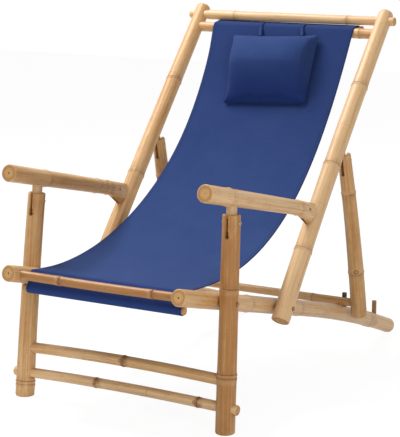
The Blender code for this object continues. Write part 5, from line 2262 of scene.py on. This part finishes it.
        def lay(spot: Vector) -> Laid:
            """Lay one point of the webbing.

            Args:
                spot: Its place on the unit square.

            Returns:
                Its place in the frame, its distance to the side edge and its flat place.
            """
            row = (spot.y + 0.5) * (len(spots) - 1)
            point, lift = spots[round(row)]
            crown = self.strap_crown * (1 - (2 * spot.x) ** 2)
            point += lift * (self.clear + self.strap_thick / 2 + crown)
            lean = self.strap_lean * max(0.0, 1 - row / steps)
            place = from_side(middle + lean + spot.x * self.strap_width, point)
            return place, self.strap_width * (0.5 - abs(spot.x)), (place.x, place.z)

        shape = cloth_grid(self.strap_columns, len(spots) - 1, lay)
        strap = add(f"strap_{side.label}", shape, self.sling.base.workshop.canvas)
        strap.data.shade_smooth()
        skin = strap.modifiers.new("webbing", "SOLIDIFY")
        skin.thickness = self.strap_thick
        skin.offset = 0
        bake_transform(strap)
        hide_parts(f"pillow_strap_{side.label}")
        LOG.info("strap_%s joins backrest and pillow", side.label)


@dataclass
class Studio:
    """The camera, the soft lights, a white surround and the floor."""

    azimuth: float = math.radians(30.9195)
    elevation: float = math.radians(10.394)
    distance: float = 3.89624
    focal: float = 1597.392
    centre: tuple[float, float] = (195.7255, 199.3189)
    frame: tuple[int, int] = (400, 437)
    target: tuple[float, float] = (0.4534, 0.45)
    sensor: float = 36.0
    lamps: tuple[tuple[str, tuple[float, float, float], float, float], ...] = (
        ("key", (-1.55, 0.0, 3.2), 1.4, 107.0), ("fill", (3.0, -2.2, 1.3), 1.8, 38.0),
        ("front", (-0.8, -3.5, 0.6), 1.4, 10.0))
    lamp_aim: float = 0.4
    soft_light: float = 0.36
    floor_size: float = 14.0
    floor_grey: float = 0.86
    floor_glow: float = 1.08
    floor_share: float = 0.86

    def build(self, lines: ChairLines) -> None:
        """Set the stage.

        Args:
            lines: The lines of the frame.
        """
        self.camera(lines)
        for lamp in self.lamps:
            self.lamp(*lamp)
        self.surround()
        self.floor()
        bpy.context.scene.view_settings.view_transform = "Standard"

    def camera(self, lines: ChairLines) -> None:
        """Put the camera where the chair was looked at from.

        Args:
            lines: The lines of the frame.
        """
        back = Vector((math.sin(self.azimuth) * math.cos(self.elevation),
                       -math.cos(self.azimuth) * math.cos(self.elevation), math.sin(self.elevation)))
        data = bpy.data.cameras.new("camera")
        data.sensor_fit = "HORIZONTAL"
        data.sensor_width = self.sensor
        data.lens = self.sensor * self.focal / self.frame[0]
        data.shift_x = (self.frame[0] / 2 - self.centre[0]) / self.frame[0]
        data.shift_y = (self.centre[1] - self.frame[1] / 2) / self.frame[0]
        camera = link("camera", data)
        camera.rotation_mode = "QUATERNION"
        camera.rotation_quaternion = back.to_track_quat("Z", "Y")
        camera.location = lines.at(0, *self.target) + back * self.distance
        bpy.context.scene.camera = camera

    def lamp(self, name: str, place: tuple[float, float, float], size: float, power: float) -> None:
        """A soft square lamp that faces the chair.

        Args:
            name: The lamp's name.
            place: Where it hangs.
            size: Its side.
            power: Its watts.
        """
        data = bpy.data.lights.new(name, "AREA")
        data.shape = "SQUARE"
        data.size = size
        data.energy = power
        lamp = link(name, data)
        lamp.location = place
        lamp.rotation_mode = "QUATERNION"
        aim = Vector((0, 0, self.lamp_aim))
        lamp.rotation_quaternion = (Vector(place) - aim).to_track_quat("Z", "Y")

    @staticmethod
    def seen(paint: Paint) -> Wire:
        """1 for rays that show the surround: from the camera, from gloss and through glass."""
        path = [paint.node("ShaderNodeLightPath", {}, {}, ray)
                for ray in ("Is Camera Ray", "Is Glossy Ray", "Is Transmission Ray")]
        return (path[0] + path[1] + path[2]).at_most(1.0)

    def surround(self) -> None:
        """White where it is seen, a plain soft light elsewhere."""
        world = bpy.data.worlds.new("surround")
        bpy.context.scene.world = world
        paint = Paint("surround", world)
        soft, white = (paint.node("ShaderNodeBackground", {}, {"Color": WHITE, "Strength": strength})
                       for strength in (self.soft_light, 1.0))
        shown = paint.node("ShaderNodeMixShader", {}, {0: self.seen(paint), 1: soft, 2: white})
        paint.close(shown, "ShaderNodeOutputWorld")

    def floor(self) -> None:
        """A pale floor that nearly melts into the surround and keeps a faint shadow."""
        shape = bmesh.new()
        bmesh.ops.create_grid(shape, x_segments=2, y_segments=2, size=self.floor_size / 2)
        paint = Paint("floor_paint")
        grey = (self.floor_grey, self.floor_grey, self.floor_grey, 1)
        matt = paint.node("ShaderNodeBsdfDiffuse", {}, {"Color": grey})
        white = paint.node("ShaderNodeEmission", {}, {"Color": WHITE, "Strength": self.floor_glow})
        share = self.seen(paint) * self.floor_share
        shown = paint.node("ShaderNodeMixShader", {}, {0: share, 1: matt, 2: white})
        paint.close(shown)
        floor = add("floor", shape, paint.material)


def main() -> None:
    """Load the frame, dress the chair and set the stage."""
    logging.basicConfig(level=logging.INFO, format="%(name)s: %(message)s")
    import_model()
    lines = ChairLines()
    Studio().build(lines)
    workshop = Workshop(lines)
    base, backrest = Base(lines, workshop), Backrest(lines, workshop)
    base.build()
    LegFrame(lines, workshop).build()
    Armrest(lines, workshop, Side.LEFT, 0.55, nodes=(0.145, 0.370, 0.423),
            buds=((0.452, -75, 0.006), (0.41, -60, 0.004))).build()
    Armrest(lines, workshop, Side.RIGHT, 0.12, pith=0.25).build()
    backrest.build()
    Prop(lines, workshop).build()
    sling = Sling(base, backrest)
    sling.build()
    Pillow(sling).build()


if __name__ == "__main__":
    main()
